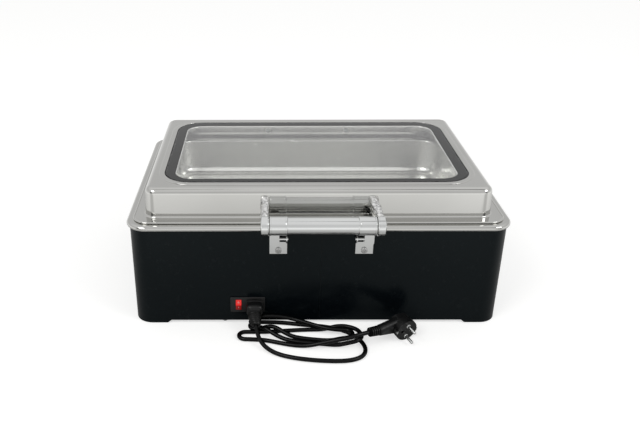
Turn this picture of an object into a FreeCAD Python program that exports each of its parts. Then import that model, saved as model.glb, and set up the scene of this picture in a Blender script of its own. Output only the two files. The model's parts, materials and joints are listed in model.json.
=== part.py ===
"""Electric chafing dish with a hinged glass lid, as a parametric document.

Frame: +X runs along the long side, +Y from the hinge side to the serving side,
+Z up. The origin is the centre of the footprint on the table. Millimetres.
"""

import FreeCAD, Part
import math
import os
import re

import Sketcher

doc = FreeCAD.newDocument("ElectricChafingDish")
sheet = doc.addObject("Spreadsheet::Sheet", "Sizes")

# Driving dimensions: alias, value, what it sizes
SIZES = (
    ("case_radius", 29, "casing, outer corner radius"),
    ("case_sheet", 1.0, "casing sheet"),
    ("case_top", 169.1, "height of the casing's top edge"),
    ("case_edge", 5.5, "height of the casing's raised lower edge"),
    ("case_foot", 0.5, "height of the corner skirts above the table"),
    ("foot_reach", 54, "length of a corner skirt from the corner"),
    ("foot_slant", 6, "slope at the end of a skirt"),
    ("lip_width", 12, "inward lips of the casing"),
    ("plate_sheet", 1.0, "bottom plate sheet"),
    ("plate_margin", 2.0, "bottom plate, gap to the casing wall"),
    ("pad_radius", 17, "rubber foot"),
    ("pad_inset", 30, "rubber foot axis from the outer faces"),
    ("foot_stem", 4.0, "radius of a rubber foot's stem through the plate"),
    ("plate_screw_x", 150, "bottom plate's long side screws from the middle"),
    ("plate_screw_y", 80, "bottom plate's short side screws from the middle"),
    ("vent_x", 90, "middle of a row of vents"),
    ("vent_long", 50, "vent slot, length"),
    ("vent_wide", 5, "vent slot, width"),
    ("vent_pitch", 14, "between vent slots"),
    ("earth_x", 60, "earth stud left of the middle"),
    ("earth_in", 46, "earth stud inside the rear wall"),
    ("screw_head", 4.0, "radius of a small pan head"),
    ("screw_rise", 2.0, "height of a small pan head"),
    ("screw_shank", 2.0, "radius of a small screw's shank"),
    ("play", 0.3, "gap between seated pieces"),
    ("hole_play", 0.25, "radial clearance of a screw hole"),
    ("run_play", 0.06, "radial running clearance"),
    ("rim_bead", 4.6, "radius of the water pan's rolled bead, whose top is its flat rim"),
    ("pan_sheet", 0.8, "water pan sheet"),
    ("ledge_rise", 8.8, "ledge under the food pan above the rim"),
    ("ledge_margin", 2.5, "ledge beyond the food pan's flange"),
    ("well_floor", 75.6, "height of the water pan's floor"),
    ("well_play", 2.2, "water pan opening around the food pan's body"),
    ("well_round", 10, "bottom radius of the water pan"),
    ("food_width", 530, "food pan, full width"),
    ("food_depth", 325, "food pan, full depth"),
    ("food_radius", 27, "food pan, corner radius of the flange"),
    ("food_flange", 10.5, "food pan, flange width"),
    ("food_inner", 38, "food pan, corner radius of the body"),
    ("food_deep", 65, "food pan, depth below its flange"),
    ("food_sheet", 0.8, "food pan sheet"),
    ("food_taper", 4.0, "food pan, wall draft in degrees"),
    ("food_round", 13, "food pan, bottom radius"),
    ("food_edge", 2.6, "food pan, radius at the top edge"),
    ("food_side", 9.5, "lid wall's foot beyond the food pan, at the ends"),
    ("food_front", 12, "lid wall's foot beyond the food pan, at the front and rear"),
    ("lid_radius", 19, "lid wall, corner radius"),
    ("lid_sheet", 0.9, "lid sheet"),
    ("lid_lift", 1.8, "lid flange above the water pan's rim"),
    ("lid_rise", 48.8, "lid's outer top border above its flange"),
    ("lid_taper", 2.6, "lid wall draft in degrees"),
    ("lid_round", 9, "radius between lid wall and top"),
    ("lid_flange", 16.5, "lid flange width"),
    ("lid_margin", 7.3, "casing beyond the lid flange"),
    ("flange_radius", 24, "lid flange, corner radius"),
    ("lid_hem", 1.5, "radius of the lid flange's hem"),
    ("border_rise", 0.9, "raised border round the glass"),
    ("border_margin", 10.8, "raised border beyond the glass"),
    ("glass_side", 28.5, "glass inside the lid wall's foot, at the ends"),
    ("glass_front", 29.5, "glass inside the lid wall's foot, at the front and rear"),
    ("glass_radius", 44, "glass, corner radius"),
    ("glass_thick", 4.0, "glass thickness"),
    ("glass_sink", 0.2, "glass top below the raised border"),
    ("seal_gap", 1.8, "seal width round the glass"),
    ("seal_bed", 0.5, "seal thickness under the glass"),
    ("window_margin", 18, "glass edge to the clear window"),
    ("window_lip", 4.0, "turned-down lip of the window"),
    ("hinge_x", 4.0, "hinge centre along the case"),
    ("hinge_out", 17.0, "hinge axis outside the casing's rear wall"),
    ("hinge_rise", 8.65, "hinge axis above the rim"),
    ("tube_radius", 13.7, "hinge tube"),
    ("tube_bore", 9.5, "radius of the hinge tube's bore"),
    ("tube_half", 81, "half length of the hinge tube"),
    ("collar_radius", 14.8, "hinge collar"),
    ("collar_width", 25.5, "hinge collar, width"),
    ("lug_width", 15, "lug under a collar"),
    ("lug_thick", 6.4, "lug thickness"),
    ("lug_drop", 22.3, "lug's rounded foot below the casing's top edge"),
    ("cap_gap", 1.3, "between hinge tube and cap"),
    ("cap_radius", 15.8, "hinge cap of a lid arm"),
    ("cap_width", 12.5, "hinge cap width"),
    ("shaft_radius", 5.0, "hinge shaft"),
    ("shaft_length", 45, "hinge shaft inside the tube"),
    ("arm_width", 12.5, "lid arm width"),
    ("arm_root", 26, "lid arm's height over the hinge axis"),
    ("arm_reach", 84, "foot of a lid arm from the lid's centre"),
    ("arm_drop", 21.1, "lid arm's foot below the lid's top"),
    ("arm_height", 17, "lid arm's foot, height"),
    ("arm_screws", 3.6, "arm screw above and below the foot's centre"),
    ("arm_head", 3.2, "radius of an arm screw's head"),
    ("arm_grip", 7.8, "arm screw beyond its backplate"),
    ("backplate_width", 16, "plate behind an arm, width"),
    ("backplate_height", 20, "plate behind an arm, height"),
    ("backplate_sheet", 1.5, "plate behind an arm, sheet"),
    ("bracket_width", 27.4, "hinge bracket plate"),
    ("bracket_sheet", 2.0, "hinge bracket sheet"),
    ("foot_drop", 38.2, "bracket's lower edge below the casing's top edge"),
    ("step_drop", 17.3, "bracket's inner edge below the casing's top edge"),
    ("top_drop", 2.4, "bracket's outer edge below the casing's top edge"),
    ("bracket_reach", 67.3, "bracket centre from the hinge centre"),
    ("pin_radius", 2.1, "bracket cross pin"),
    ("pin_drop", 10.3, "cross pin below the casing's top edge"),
    ("screw_drop", 31.5, "bracket screw below the casing's top edge"),
    ("big_head", 5.0, "radius of the bracket screw's head"),
    ("big_shank", 2.5, "radius of the bracket screw's shank"),
    ("big_rise", 2.8, "height of the bracket screw's head"),
    ("big_grip", 8, "bracket screw beyond the casing sheet"),
    ("handle_half", 77, "handle post from the centre"),
    ("handle_drop", 27.1, "lid handle below the lid's top"),
    ("handle_out", 42, "handle bar from the lid wall"),
    ("handle_radius", 7, "lid handle bar"),
    ("handle_over", 14, "handle bar beyond its posts"),
    ("post_radius", 5.5, "lid handle post"),
    ("washer_thick", 1.0, "washer under a handle screw"),
    ("handle_head", 4.5, "radius of a handle screw's head"),
    ("handle_rise", 2.4, "height of a handle screw's head"),
    ("handle_grip", 12, "handle screw beyond its washer"),
    ("inlet_x", -112.3, "centre of the inlet plate"),
    ("inlet_z", 36.4, "height of the inlet plate's centre"),
    ("inlet_width", 56, "inlet plate width"),
    ("inlet_height", 27.4, "inlet plate height"),
    ("inlet_plate", 2.5, "inlet plate thickness"),
    ("inlet_body", 26, "inlet body behind the wall"),
    ("inlet_cut", 6, "inlet plate wider than its opening"),
    ("socket_offset", 11.3, "socket centre from the plate's centre"),
    ("socket_width", 24.6, "socket recess width"),
    ("socket_height", 16.6, "socket recess height"),
    ("socket_deep", 17, "socket recess depth"),
    ("rocker_offset", 14.8, "rocker centre from the plate's centre"),
    ("rocker_width", 8.8, "rocker width"),
    ("rocker_half", 8.6, "rocker half height"),
    ("rocker_tilt", 8, "rocker tilt each way in degrees"),
    ("heater_width", 340, "heater plate width"),
    ("heater_depth", 190, "heater plate depth"),
    ("heater_thick", 4, "heater plate thickness"),
    ("element_radius", 3.3, "tubular heating element"),
    ("element_pitch", 40, "between the legs of the element"),
    ("element_half", 110, "half length of the element's long legs"),
    ("element_lead", 25, "element ends beyond the bends"),
    ("clamp_x", 60, "element clamp from the centre"),
    ("clamp_half", 80, "half length of an element clamp"),
    ("clamp_sheet", 1.5, "element clamp sheet"),
    ("sensor_radius", 8, "thermostat and cutout"),
    ("sensor_height", 10, "height of the thermostat and cutout"),
    ("cutout_x", 95, "cutout from the centre"),
    ("shield_z", 43, "height of the heat shield"),
    ("shield_sheet", 0.8, "heat shield sheet"),
    ("stud_x", 155, "heater stud from the centre, along"),
    ("stud_y", 82, "heater stud from the centre, across"),
    ("stud_radius", 2.5, "heater stud"),
    ("seam_x", 5.0, "rear seam of the casing"),
    ("seam_gap", 0.5, "rear seam, width"),
    ("strip_half", 15, "half width of the strip behind the seam"),
    ("strip_sheet", 1.2, "strip behind the seam, sheet"),
    ("rivet_shank", 1.3, "seam rivet's shank radius"),
    ("rivet_head", 2.0, "seam rivet's head radius"),
    ("rivet_high", 121.9, "height of the upper seam rivet"),
    ("rivet_low", 46.1, "height of the lower seam rivet"),
    ("rivet_high_x", 7.5, "upper seam rivet from the seam"),
    ("rivet_low_x", 10.3, "lower seam rivet from the seam"),
    ("nut_flats", 8, "nut, across its flats"),
    ("nut_thick", 4, "nut thickness"),
    ("cord_radius", 3.5, "power cord"),
    ("plug_radius", 18.5, "plug head"),
    ("plug_grip", 8.5, "plug grip radius"),
    ("blade_radius", 2.4, "plug pin"),
    ("blade_length", 19, "plug pin length"),
    ("blade_half", 9.5, "plug pin from the plug's centre"),
)
for row, (alias, value, note) in enumerate(SIZES, start=1):
    sheet.set(f"A{row}", alias)
    sheet.set(f"B{row}", str(value))
    sheet.set(f"C{row}", note)
    sheet.setAlias(f"B{row}", alias)
doc.recompute()

# Sizes that follow from the driving ones: the casing and the lid are as large as the food pan asks,
# and what stands on the casing is placed from its top edge
FOLLOWING = {
    "lid_width": "(food_width + 2 * food_side)",
    "lid_depth": "(food_depth + 2 * food_front)",
    "case_width": "(lid_width + 2 * (lid_flange + lid_margin))",
    "case_depth": "(lid_depth + 2 * (lid_flange + lid_margin))",
    "glass_width": "(lid_width - 2 * glass_side)",
    "glass_depth": "(lid_depth - 2 * glass_front)",
    "rim_top": "(case_top + play + 2 * rim_bead)",
    "ledge_top": "(rim_top + ledge_rise)",
    "lid_top": "(rim_top + lid_lift + lid_rise)",
    "arm_z": "(lid_top - arm_drop)",
    "handle_z": "(lid_top - handle_drop)",
    "hinge_z": "(rim_top + hinge_rise)",
    "lug_foot": "(case_top - lug_drop)",
    "bracket_foot": "(case_top - foot_drop)",
    "bracket_step": "(case_top - step_drop)",
    "bracket_top": "(case_top - top_drop)",
    "pin_z": "(case_top - pin_drop)",
    "big_screw": "(case_top - screw_drop)",
}
FOLLOWS = re.compile(r"\b(" + "|".join(FOLLOWING) + r")\b")
ALIAS = re.compile(r"\b(" + "|".join(alias for alias, _, _ in SIZES) + r")\b")


def spelled(expression):
    """An expression in which the following sizes are written out in the driving ones."""
    text = str(expression)
    while FOLLOWS.search(text):
        text = FOLLOWS.sub(lambda found: FOLLOWING[found.group()], text)
    return text


def value(expression):
    """Number that an expression in the sheet's aliases gives now."""
    return float(sheet.evalExpression(spelled(expression)))


def bind(thing, prop, expression):
    """Tie a property to an expression in the sheet's aliases."""
    thing.setExpression(prop, ALIAS.sub(r"Sizes.\1", spelled(expression)))


# Places that several pieces share
REAR = "-(case_depth / 2)"
HINGE_Y = "-(case_depth / 2 + hinge_out)"
FLANGE_Z = "(rim_top + lid_lift)"
FOOD_TOP = "(ledge_top + play + food_sheet)"
BODY_WIDTH = "(food_width - 2 * food_flange)"
BODY_DEPTH = "(food_depth - 2 * food_flange)"
WELL_WIDTH = f"({BODY_WIDTH} + 2 * well_play)"
WELL_DEPTH = f"({BODY_DEPTH} + 2 * well_play)"
GLASS_TOP = "(lid_top + border_rise - glass_sink)"
BED_Z = f"({GLASS_TOP} - glass_thick - seal_bed)"
CAP_IN = "(tube_half + cap_gap)"
CAP_OUT = f"({CAP_IN} + cap_width)"
PLATE_Z = "(case_edge - play - plate_sheet)"
HEATER_Z = "(well_floor - pan_sheet - play - heater_thick)"
ELEMENT_Z = f"({HEATER_Z} - play - element_radius)"
SOCKET_X = "(inlet_x + socket_offset)"
ROCKER_X = "(inlet_x - rocker_offset)"
FACE_Y = f"({REAR} - play - inlet_plate)"
LUG_Y = f"({REAR} - play - bracket_sheet - play - lug_thick)"
SIDES = (("left", -1), ("right", 1))

nodes = []


def node(name):
    """New body that becomes one sub-part."""
    body = doc.addObject("PartDesign::Body", name)
    body.Label = name
    nodes.append(body)
    return body


def wall_y(side, height):
    """Outer face of the lid's rear (side -1) or front (side 1) wall at a height."""
    run = f"(({height}) - {FLANGE_Z}) * tan(lid_taper)"
    return f"({side} * (lid_depth / 2 - {run}))"


def sketch_on(body, role, at):
    """Sketch on one of the body's origin planes, moved along the plane's axis to at."""
    sketch = body.newObject("Sketcher::SketchObject", body.Name + "_sketch")
    plane = next(f for f in body.Origin.OriginFeatures if f.Role == role + "_Plane")
    sketch.AttachmentSupport = (plane, [""])
    sketch.MapMode = "FlatFace"
    bind(sketch, "AttachmentOffset.Base.z", f"-({at})" if role == "XZ" else at)
    return sketch


def held(kind, *places, size=None):
    """Constraint of a sketch with the expression that drives it, if any."""
    if size is None:
        return Sketcher.Constraint(kind, *places), None
    return Sketcher.Constraint(kind, *places, value(size)), size


def locate(geometry, point, x, y):
    """Constraints that hold a point of a sketch at (x, y)."""
    return [
        held("DistanceX", -1, 1, geometry, point, size=x),
        held("DistanceY", -1, 1, geometry, point, size=y),
    ]


def fill(sketch, shapes):
    """Draw shapes in a sketch, then constrain them all at once."""
    rules = [rule for draw in shapes for rule in draw(sketch)]
    indices = sketch.addConstraint([constraint for constraint, _ in rules])
    for index, (_, expression) in zip(indices, rules):
        if expression is not None:
            bind(sketch, f"Constraints[{index}]", expression)


def rounded(width, depth, radius, x=0, y=0):
    """Rectangle with round corners about (x, y)."""

    def draw(sketch):
        w, d, r = value(width) / 2, value(depth) / 2, value(radius)
        cx, cy = value(x), value(y)
        turns = ((1, 1), (-1, 1), (-1, -1), (1, -1))
        rules = []
        arcs = []
        for turn, (sx, sy) in enumerate(turns):
            centre = FreeCAD.Vector(cx + sx * (w - r), cy + sy * (d - r), 0)
            circle = Part.Circle(centre, FreeCAD.Vector(0, 0, 1), r)
            start = turn * math.pi / 2
            arcs.append(sketch.addGeometry(Part.ArcOfCircle(circle, start, start + math.pi / 2)))
            across = f"({x}) + {sx} * (({width}) / 2 - ({radius}))"
            up = f"({y}) + {sy} * (({depth}) / 2 - ({radius}))"
            rules += locate(arcs[-1], 3, across, up)
        for before, after in zip(arcs, arcs[1:] + arcs[:1]):
            start = sketch.Geometry[before].EndPoint
            finish = sketch.Geometry[after].StartPoint
            line = sketch.addGeometry(Part.LineSegment(start, finish))
            rules.append(held("Tangent", before, 2, line, 1))
            rules.append(held("Tangent", line, 2, after, 1))
        rules.append(held("Radius", arcs[0], size=radius))
        rules += [held("Equal", arcs[0], arc) for arc in arcs[1:]]
        return rules

    return draw


def disc(radius, x=0, y=0):
    """Circle about (x, y)."""

    def draw(sketch):
        centre = FreeCAD.Vector(value(x), value(y), 0)
        circle = Part.Circle(centre, FreeCAD.Vector(0, 0, 1), value(radius))
        index = sketch.addGeometry(circle)
        return [held("Radius", index, size=radius), *locate(index, 3, x, y)]

    return draw


def outline(*corners):
    """Closed outline through corners."""

    def draw(sketch):
        spots = [FreeCAD.Vector(value(x), value(y), 0) for x, y in corners]
        rules = []
        lines = [
            sketch.addGeometry(Part.LineSegment(start, finish))
            for start, finish in zip(spots, spots[1:] + spots[:1])
        ]
        for before, after in zip(lines, lines[1:] + lines[:1]):
            rules.append(held("Coincident", before, 2, after, 1))
        for line, (x, y) in zip(lines, corners):
            rules += locate(line, 1, x, y)
        return rules

    return draw


def block(x0, x1, y0, y1):
    """Rectangle with sharp corners from (x0, y0) to (x1, y1)."""
    return outline((x0, y0), (x1, y0), (x1, y1), (x0, y1))


def prism(body, kind, role, start, end, shapes, taper=0):
    """Pad or pocket that spans start to end along the axis square to a plane."""
    sketch = sketch_on(body, role, start)
    fill(sketch, shapes)
    feature = body.newObject("PartDesign::" + kind, f"{body.Name}_{kind.lower()}")
    feature.Profile = sketch
    bind(feature, "Length", f"({end}) - ({start})")
    feature.Reversed = (role == "XZ") == (kind == "Pad")
    if taper:
        bind(feature, "TaperAngle", taper)
    sketch.Visibility = False
    return feature


def pad(body, role, start, end, *shapes, taper=0):
    return prism(body, "Pad", role, start, end, shapes, taper)


def pocket(body, role, start, end, *shapes, taper=0):
    return prism(body, "Pocket", role, start, end, shapes, taper)


def bead(body, radius, width, depth, corner, z):
    """Round bead along a rounded rectangle at height z."""
    path = sketch_on(body, "XY", z)
    fill(path, [rounded(width, depth, corner)])
    section = sketch_on(body, "XZ", "0")
    fill(section, [disc(radius, f"({width}) / 2", z)])
    doc.recompute()
    feature = body.newObject("PartDesign::AdditivePipe", body.Name + "_bead")
    feature.Profile = section
    feature.Spine = (path, [f"Edge{i + 1}" for i in range(len(path.Shape.Edges))])
    path.Visibility = section.Visibility = False
    return feature


def soften(body, radius, test, kind="Fillet"):
    """Fillet or chamfer the edges of the body's tip that pass a test."""
    doc.recompute()
    base = body.Tip
    names = [f"Edge{i + 1}" for i, edge in enumerate(base.Shape.Edges) if test(edge)]
    if not names:
        raise ValueError(f"{body.Label}: no edge to soften")
    feature = body.newObject("PartDesign::" + kind, f"{body.Name}_{kind.lower()}")
    feature.Base = (base, names)
    bind(feature, "Radius" if kind == "Fillet" else "Size", radius)
    return feature


def level(z, width=None, depth=None):
    """Test for edges that lie flat at height z, inside a rectangle if one is given."""

    def test(edge):
        box = edge.BoundBox
        if abs(box.ZMin - value(z)) > 0.01 or abs(box.ZMax - value(z)) > 0.01:
            return False
        if width is None:
            return True
        across, deep = max(box.XMax, -box.XMin), max(box.YMax, -box.YMin)
        return across < value(width) / 2 + 0.1 and deep < value(depth) / 2 + 0.1

    return test


def tube(points, radius):
    """Tube along straight runs joined by tangent arcs, with the arcs' radii and length.

    Each arc is as large as its two runs allow: 0.45 of the shorter run over
    the tangent of half the turn.
    """
    spots = [FreeCAD.Vector(*p) for p in points]
    edges = []
    radii = []
    begin = spots[0]
    for before, corner, after in zip(spots, spots[1:], spots[2:]):
        back = (before - corner).normalize()
        ahead = (after - corner).normalize()
        half = (math.pi - back.getAngle(ahead)) / 2
        reach = 0.45 * min((before - corner).Length, (after - corner).Length)
        size = reach / math.tan(half)
        leave = corner + back * reach
        join = corner + ahead * reach
        inward = (back + ahead).normalize()
        middle = corner + inward * (size / math.cos(half) - size)
        edges.append(Part.LineSegment(begin, leave).toShape())
        edges.append(Part.Arc(leave, middle, join).toShape())
        radii.append(size)
        begin = join
    edges.append(Part.LineSegment(begin, spots[-1]).toShape())
    wire = Part.Wire(edges)
    start = edges[0].tangentAt(edges[0].FirstParameter)
    ring = Part.Wire([Part.Circle(spots[0], start, radius).toShape()])
    solid = wire.makePipeShell([ring], True, False)
    return solid, wire, radii


def free_form(name, shape):
    """Sub-part whose shape is set by this source."""
    thing = doc.addObject("Part::Feature", name)
    thing.Label = name
    thing.Shape = shape
    nodes.append(thing)
    return thing


def tongue(x, width, foot, top):
    """Upright strip centred on x with a half round foot."""

    def draw(sketch):
        half = value(width) / 2
        cx, low, high = value(x), value(foot), value(top)
        centre = FreeCAD.Vector(cx, low + half, 0)
        circle = Part.Circle(centre, FreeCAD.Vector(0, 0, 1), half)
        arc = sketch.addGeometry(Part.ArcOfCircle(circle, math.pi, 2 * math.pi))
        spots = (
            FreeCAD.Vector(cx + half, low + half, 0),
            FreeCAD.Vector(cx + half, high, 0),
            FreeCAD.Vector(cx - half, high, 0),
            FreeCAD.Vector(cx - half, low + half, 0),
        )
        lines = [sketch.addGeometry(Part.LineSegment(a, b)) for a, b in zip(spots, spots[1:])]
        chain = (arc, *lines)
        rules = [
            held("Coincident", before, 2, after, 1)
            for before, after in zip(chain, chain[1:] + chain[:1])
        ]
        right = f"({x}) + ({width}) / 2"
        left = f"({x}) - ({width}) / 2"
        rules += locate(lines[0], 1, right, f"({foot}) + ({width}) / 2")
        rules += locate(lines[1], 1, right, top)
        rules += locate(lines[2], 1, left, top)
        rules += locate(arc, 1, left, f"({foot}) + ({width}) / 2")
        rules.append(held("DistanceY", -1, 1, arc, 3, size=f"({foot}) + ({width}) / 2"))
        return rules

    return draw


def hexagon(flats, x, y):
    """Hexagon of a width across flats about (x, y)."""
    corners = []
    for turn in range(6):
        angle = 60 * turn
        reach = f"({flats}) / 2 / cos(30)"
        corners.append((f"({x}) + {reach} * cos({angle})", f"({y}) + {reach} * sin({angle})"))
    return outline(*corners)


def loft(body, kind, role, *sections):
    """Straight loft, added or cut, between outlines on parallel planes."""
    sketches = []
    for at, draw in sections:
        sketch = sketch_on(body, role, at)
        fill(sketch, [draw])
        sketch.Visibility = False
        sketches.append(sketch)
    feature = body.newObject(f"PartDesign::{kind}Loft", body.Name + "_loft")
    feature.Profile = sketches[0]
    feature.Sections = sketches[1:]
    feature.Ruled = True
    return feature


def corners_of(x, y):
    """The four mirrored places of (x, y)."""
    return [(f"{i} * ({x})", f"{j} * ({y})") for i in (-1, 1) for j in (-1, 1)]


def discs(radius, places):
    return [disc(radius, x, y) for x, y in places]


def ring(width, depth, corner, wall):
    """Outline of a frame whose wall lies inside a rounded rectangle."""
    return (
        rounded(width, depth, corner),
        rounded(f"{width} - 2 * ({wall})", f"{depth} - 2 * ({wall})", f"{corner} - ({wall})"),
    )


# Base casing: a bent sheet with lips, corner skirts and a butt seam at the rear
BIG_SCREWS = [(f"hinge_x + {side} * bracket_reach", "big_screw") for _, side in SIDES]
RIVETS = (("seam_x + rivet_high_x", "rivet_high"), ("seam_x + rivet_low_x", "rivet_low"))
RIVET_HOLE = "rivet_shank + 0.1"
PLATE_SCREWS = corners_of("plate_screw_x", "case_depth / 2 - case_sheet - lip_width / 2") + corners_of(
    "case_width / 2 - case_sheet - lip_width / 2", "plate_screw_y"
)
PADS = corners_of("case_width / 2 - pad_inset", "case_depth / 2 - pad_inset")
LIP = "case_sheet + lip_width"

casing = node("base_casing")
pad(casing, "XY", "case_foot", "case_top", *ring("case_width", "case_depth", "case_radius", "case_sheet"))
for low in ("case_edge", "case_top - case_sheet"):
    pad(casing, "XY", low, f"{low} + case_sheet", *ring("case_width", "case_depth", "case_radius", LIP))
for role, size, across in (("XZ", "case_width", "case_depth"), ("YZ", "case_depth", "case_width")):
    reach = f"({size} / 2 - foot_reach)"
    skirt = outline(
        (f"-{reach}", "case_foot - 1"),
        (reach, "case_foot - 1"),
        (reach, "case_foot"),
        (f"{reach} - foot_slant", "case_edge"),
        (f"-({reach} - foot_slant)", "case_edge"),
        (f"-{reach}", "case_foot"),
    )
    pocket(casing, role, f"-({across} / 2 + 1)", f"{across} / 2 + 1", skirt)
inlet_hole = rounded("inlet_width - inlet_cut", "inlet_height - inlet_cut", "2", "inlet_x", "inlet_z")
seam = block(
    "seam_x - seam_gap / 2",
    "seam_x + seam_gap / 2",
    "case_edge + case_sheet",
    "case_top - case_sheet",
)
pocket(
    casing,
    "XZ",
    f"{REAR} - 1",
    f"{REAR} + case_sheet + 1",
    inlet_hole,
    seam,
    *discs("big_shank + hole_play", BIG_SCREWS),
    *discs(RIVET_HOLE, RIVETS),
)
pocket(
    casing,
    "XY",
    "case_edge - 1",
    "case_edge + case_sheet + 1",
    *discs("screw_shank + hole_play", PLATE_SCREWS),
)

# Seam strip behind the joint and the two rivets that hold it
STRIP_Y = f"({REAR} + case_sheet + play)"
STRIP_BACK = f"({STRIP_Y} + strip_sheet)"
strip = node("seam_strip")
pad(
    strip,
    "XZ",
    STRIP_Y,
    STRIP_BACK,
    block("seam_x - strip_half", "seam_x + strip_half", "case_edge + 4", "case_top - 4"),
    *discs(RIVET_HOLE, RIVETS),
)
rivets = node("seam_rivets")
pad(rivets, "XZ", f"{REAR} - 0.5", f"{REAR} - 0.1", *discs("rivet_head", RIVETS))
pad(rivets, "XZ", f"{REAR} - 0.2", f"{STRIP_BACK} + 0.2", *discs("rivet_shank", RIVETS))
pad(rivets, "XZ", f"{STRIP_BACK} + 0.1", f"{STRIP_BACK} + 1", *discs("rivet_head + 0.2", RIVETS))

# Bottom plate with vents, on the casing's lower lip
VENT_COUNT = 9
VENT_ROW = f"-({VENT_COUNT - 1} / 2 * vent_pitch)"
EARTH = ("-earth_x", f"{REAR} + earth_in")
bottom = node("bottom_plate")
inset = "(case_sheet + plate_margin)"
pad(
    bottom,
    "XY",
    PLATE_Z,
    f"{PLATE_Z} + plate_sheet",
    rounded(f"case_width - 2 * {inset}", f"case_depth - 2 * {inset}", f"case_radius - {inset}"),
    *discs("screw_shank + hole_play", PLATE_SCREWS + [EARTH]),
    *discs("foot_stem + hole_play", PADS),
)
vent = pocket(
    bottom,
    "XY",
    f"{PLATE_Z} - 1",
    "case_edge",
    *[rounded("vent_long", "vent_wide", "vent_wide / 2 - 0.1", x, VENT_ROW) for x in ("-vent_x", "vent_x")],
)
vents = bottom.newObject("PartDesign::LinearPattern", "bottom_plate_vents")
vents.Originals = [vent]
vents.Direction = (vent.Profile[0], ["V_Axis"])
bind(vents, "Length", f"{VENT_COUNT - 1} * vent_pitch")
vents.Occurrences = VENT_COUNT
bottom.Tip = vents

# Rubber feet pushed through the bottom plate
feet = node("foot_pads")
pad(feet, "XY", "0", f"{PLATE_Z} - play", *discs("pad_radius", PADS))
soften(feet, "1.5", level("0"))
BARB_TOP = f"{PLATE_Z} + plate_sheet + 2.5"
pad(feet, "XY", f"{PLATE_Z} - play - 1", BARB_TOP, *discs("foot_stem", PADS))
pad(feet, "XY", f"{PLATE_Z} + plate_sheet + play", BARB_TOP, *discs("foot_stem + 1.5", PADS))


SMALL_SCREW = ("screw_head", "screw_rise", "screw_shank")


def pan_screws(name, role, face, places, away, grip, kind=SMALL_SCREW):
    """Pan head screws: heads on the away side of a face, shanks through to grip beyond it."""
    head, rise, shank = kind
    body = node(name)
    if away < 0:
        pad(body, role, f"{face} - play - {rise}", f"{face} - play", *discs(head, places))
        pad(body, role, f"{face} - play - {rise} / 2", f"{face} + {grip}", *discs(shank, places))
    else:
        pad(body, role, f"{face} + play", f"{face} + play + {rise}", *discs(head, places))
        pad(body, role, f"{face} - {grip}", f"{face} + play + {rise} / 2", *discs(shank, places))
    return body


pan_screws("bottom_screws", "XY", PLATE_Z, PLATE_SCREWS, -1, "plate_sheet + play + case_sheet + 3")

# Water pan: rolled bead on the casing, flat rim, raised ledge and the deep well
STEP_WIDTH = "(food_width + 2 * ledge_margin)"
STEP_DEPTH = "(food_depth + 2 * ledge_margin)"
STEP_RADIUS = "(food_radius + ledge_margin)"
WELL_RADIUS = "(food_inner + well_play)"
WELL_OUT = "2 * pan_sheet"
water = node("water_pan")
pad(
    water,
    "XY",
    "well_floor - pan_sheet",
    "ledge_top",
    rounded(f"{WELL_WIDTH} + {WELL_OUT}", f"{WELL_DEPTH} + {WELL_OUT}", f"{WELL_RADIUS} + pan_sheet"),
)
pad(water, "XY", "ledge_top - pan_sheet", "ledge_top", rounded(STEP_WIDTH, STEP_DEPTH, STEP_RADIUS))
pad(
    water,
    "XY",
    "rim_top - pan_sheet",
    "ledge_top",
    *ring(STEP_WIDTH, STEP_DEPTH, STEP_RADIUS, "pan_sheet"),
)
pad(
    water,
    "XY",
    "rim_top - pan_sheet",
    "rim_top",
    rounded("case_width", "case_depth", "case_radius"),
    rounded(f"{STEP_WIDTH} - 2 * pan_sheet", f"{STEP_DEPTH} - 2 * pan_sheet", f"{STEP_RADIUS} - pan_sheet"),
)
pocket(water, "XY", "well_floor", "ledge_top + 1", rounded(WELL_WIDTH, WELL_DEPTH, WELL_RADIUS))
soften(water, "well_round", level("well_floor"))
soften(water, "well_round + pan_sheet", level("well_floor - pan_sheet"))
bead(water, "rim_bead", "case_width", "case_depth", "case_radius", "rim_top - rim_bead")

# Food pan hung in the water pan by its flange
FLOOR_Z = f"({FOOD_TOP} - food_deep)"


def food_body(z, inset):
    """Outline of the food pan's tapered body at a height, moved in by inset."""
    draft = f"(({FOOD_TOP} - ({z})) * tan(food_taper) + ({inset}))"
    return rounded(
        f"{BODY_WIDTH} - 2 * {draft}", f"{BODY_DEPTH} - 2 * {draft}", f"food_inner - {draft}"
    )


food = node("food_pan")
loft(food, "Additive", "XY", (FLOOR_Z, food_body(FLOOR_Z, "0")), (FOOD_TOP, food_body(FOOD_TOP, "0")))
pad(
    food,
    "XY",
    f"{FOOD_TOP} - food_sheet",
    FOOD_TOP,
    rounded("food_width", "food_depth", "food_radius"),
)
inner_low = f"{FLOOR_Z} + food_sheet"
inner_high = f"{FOOD_TOP} + 1"
loft(
    food,
    "Subtractive",
    "XY",
    (inner_low, food_body(inner_low, "food_sheet")),
    (inner_high, food_body(inner_high, "food_sheet")),
)
soften(food, "food_round", level(inner_low))
soften(food, "food_round + food_sheet", level(FLOOR_Z))
soften(food, "food_edge - food_sheet", level(f"{FOOD_TOP} - food_sheet", BODY_WIDTH, BODY_DEPTH))
soften(food, "food_edge", level(FOOD_TOP, BODY_WIDTH, BODY_DEPTH))

# Heater: plate, tubular element, clamps, studs and shield under the well
STUDS = corners_of("stud_x", "stud_y")
CLAMPS = ("-clamp_x", "clamp_x")
CLAMP_ENDS = corners_of("clamp_x", "clamp_half - 6")
CLAMP_Z = f"({ELEMENT_Z} - element_radius - play - clamp_sheet)"
SENSORS = (("thermostat", "0"), ("thermal_cutout", "cutout_x"))
SENSOR_EAR = "12"
SENSOR_SCREWS = [(f"{x} + {side} * {SENSOR_EAR}", "0") for _, x in SENSORS for side in (-1, 1)]
SMALL = "1.5"

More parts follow.
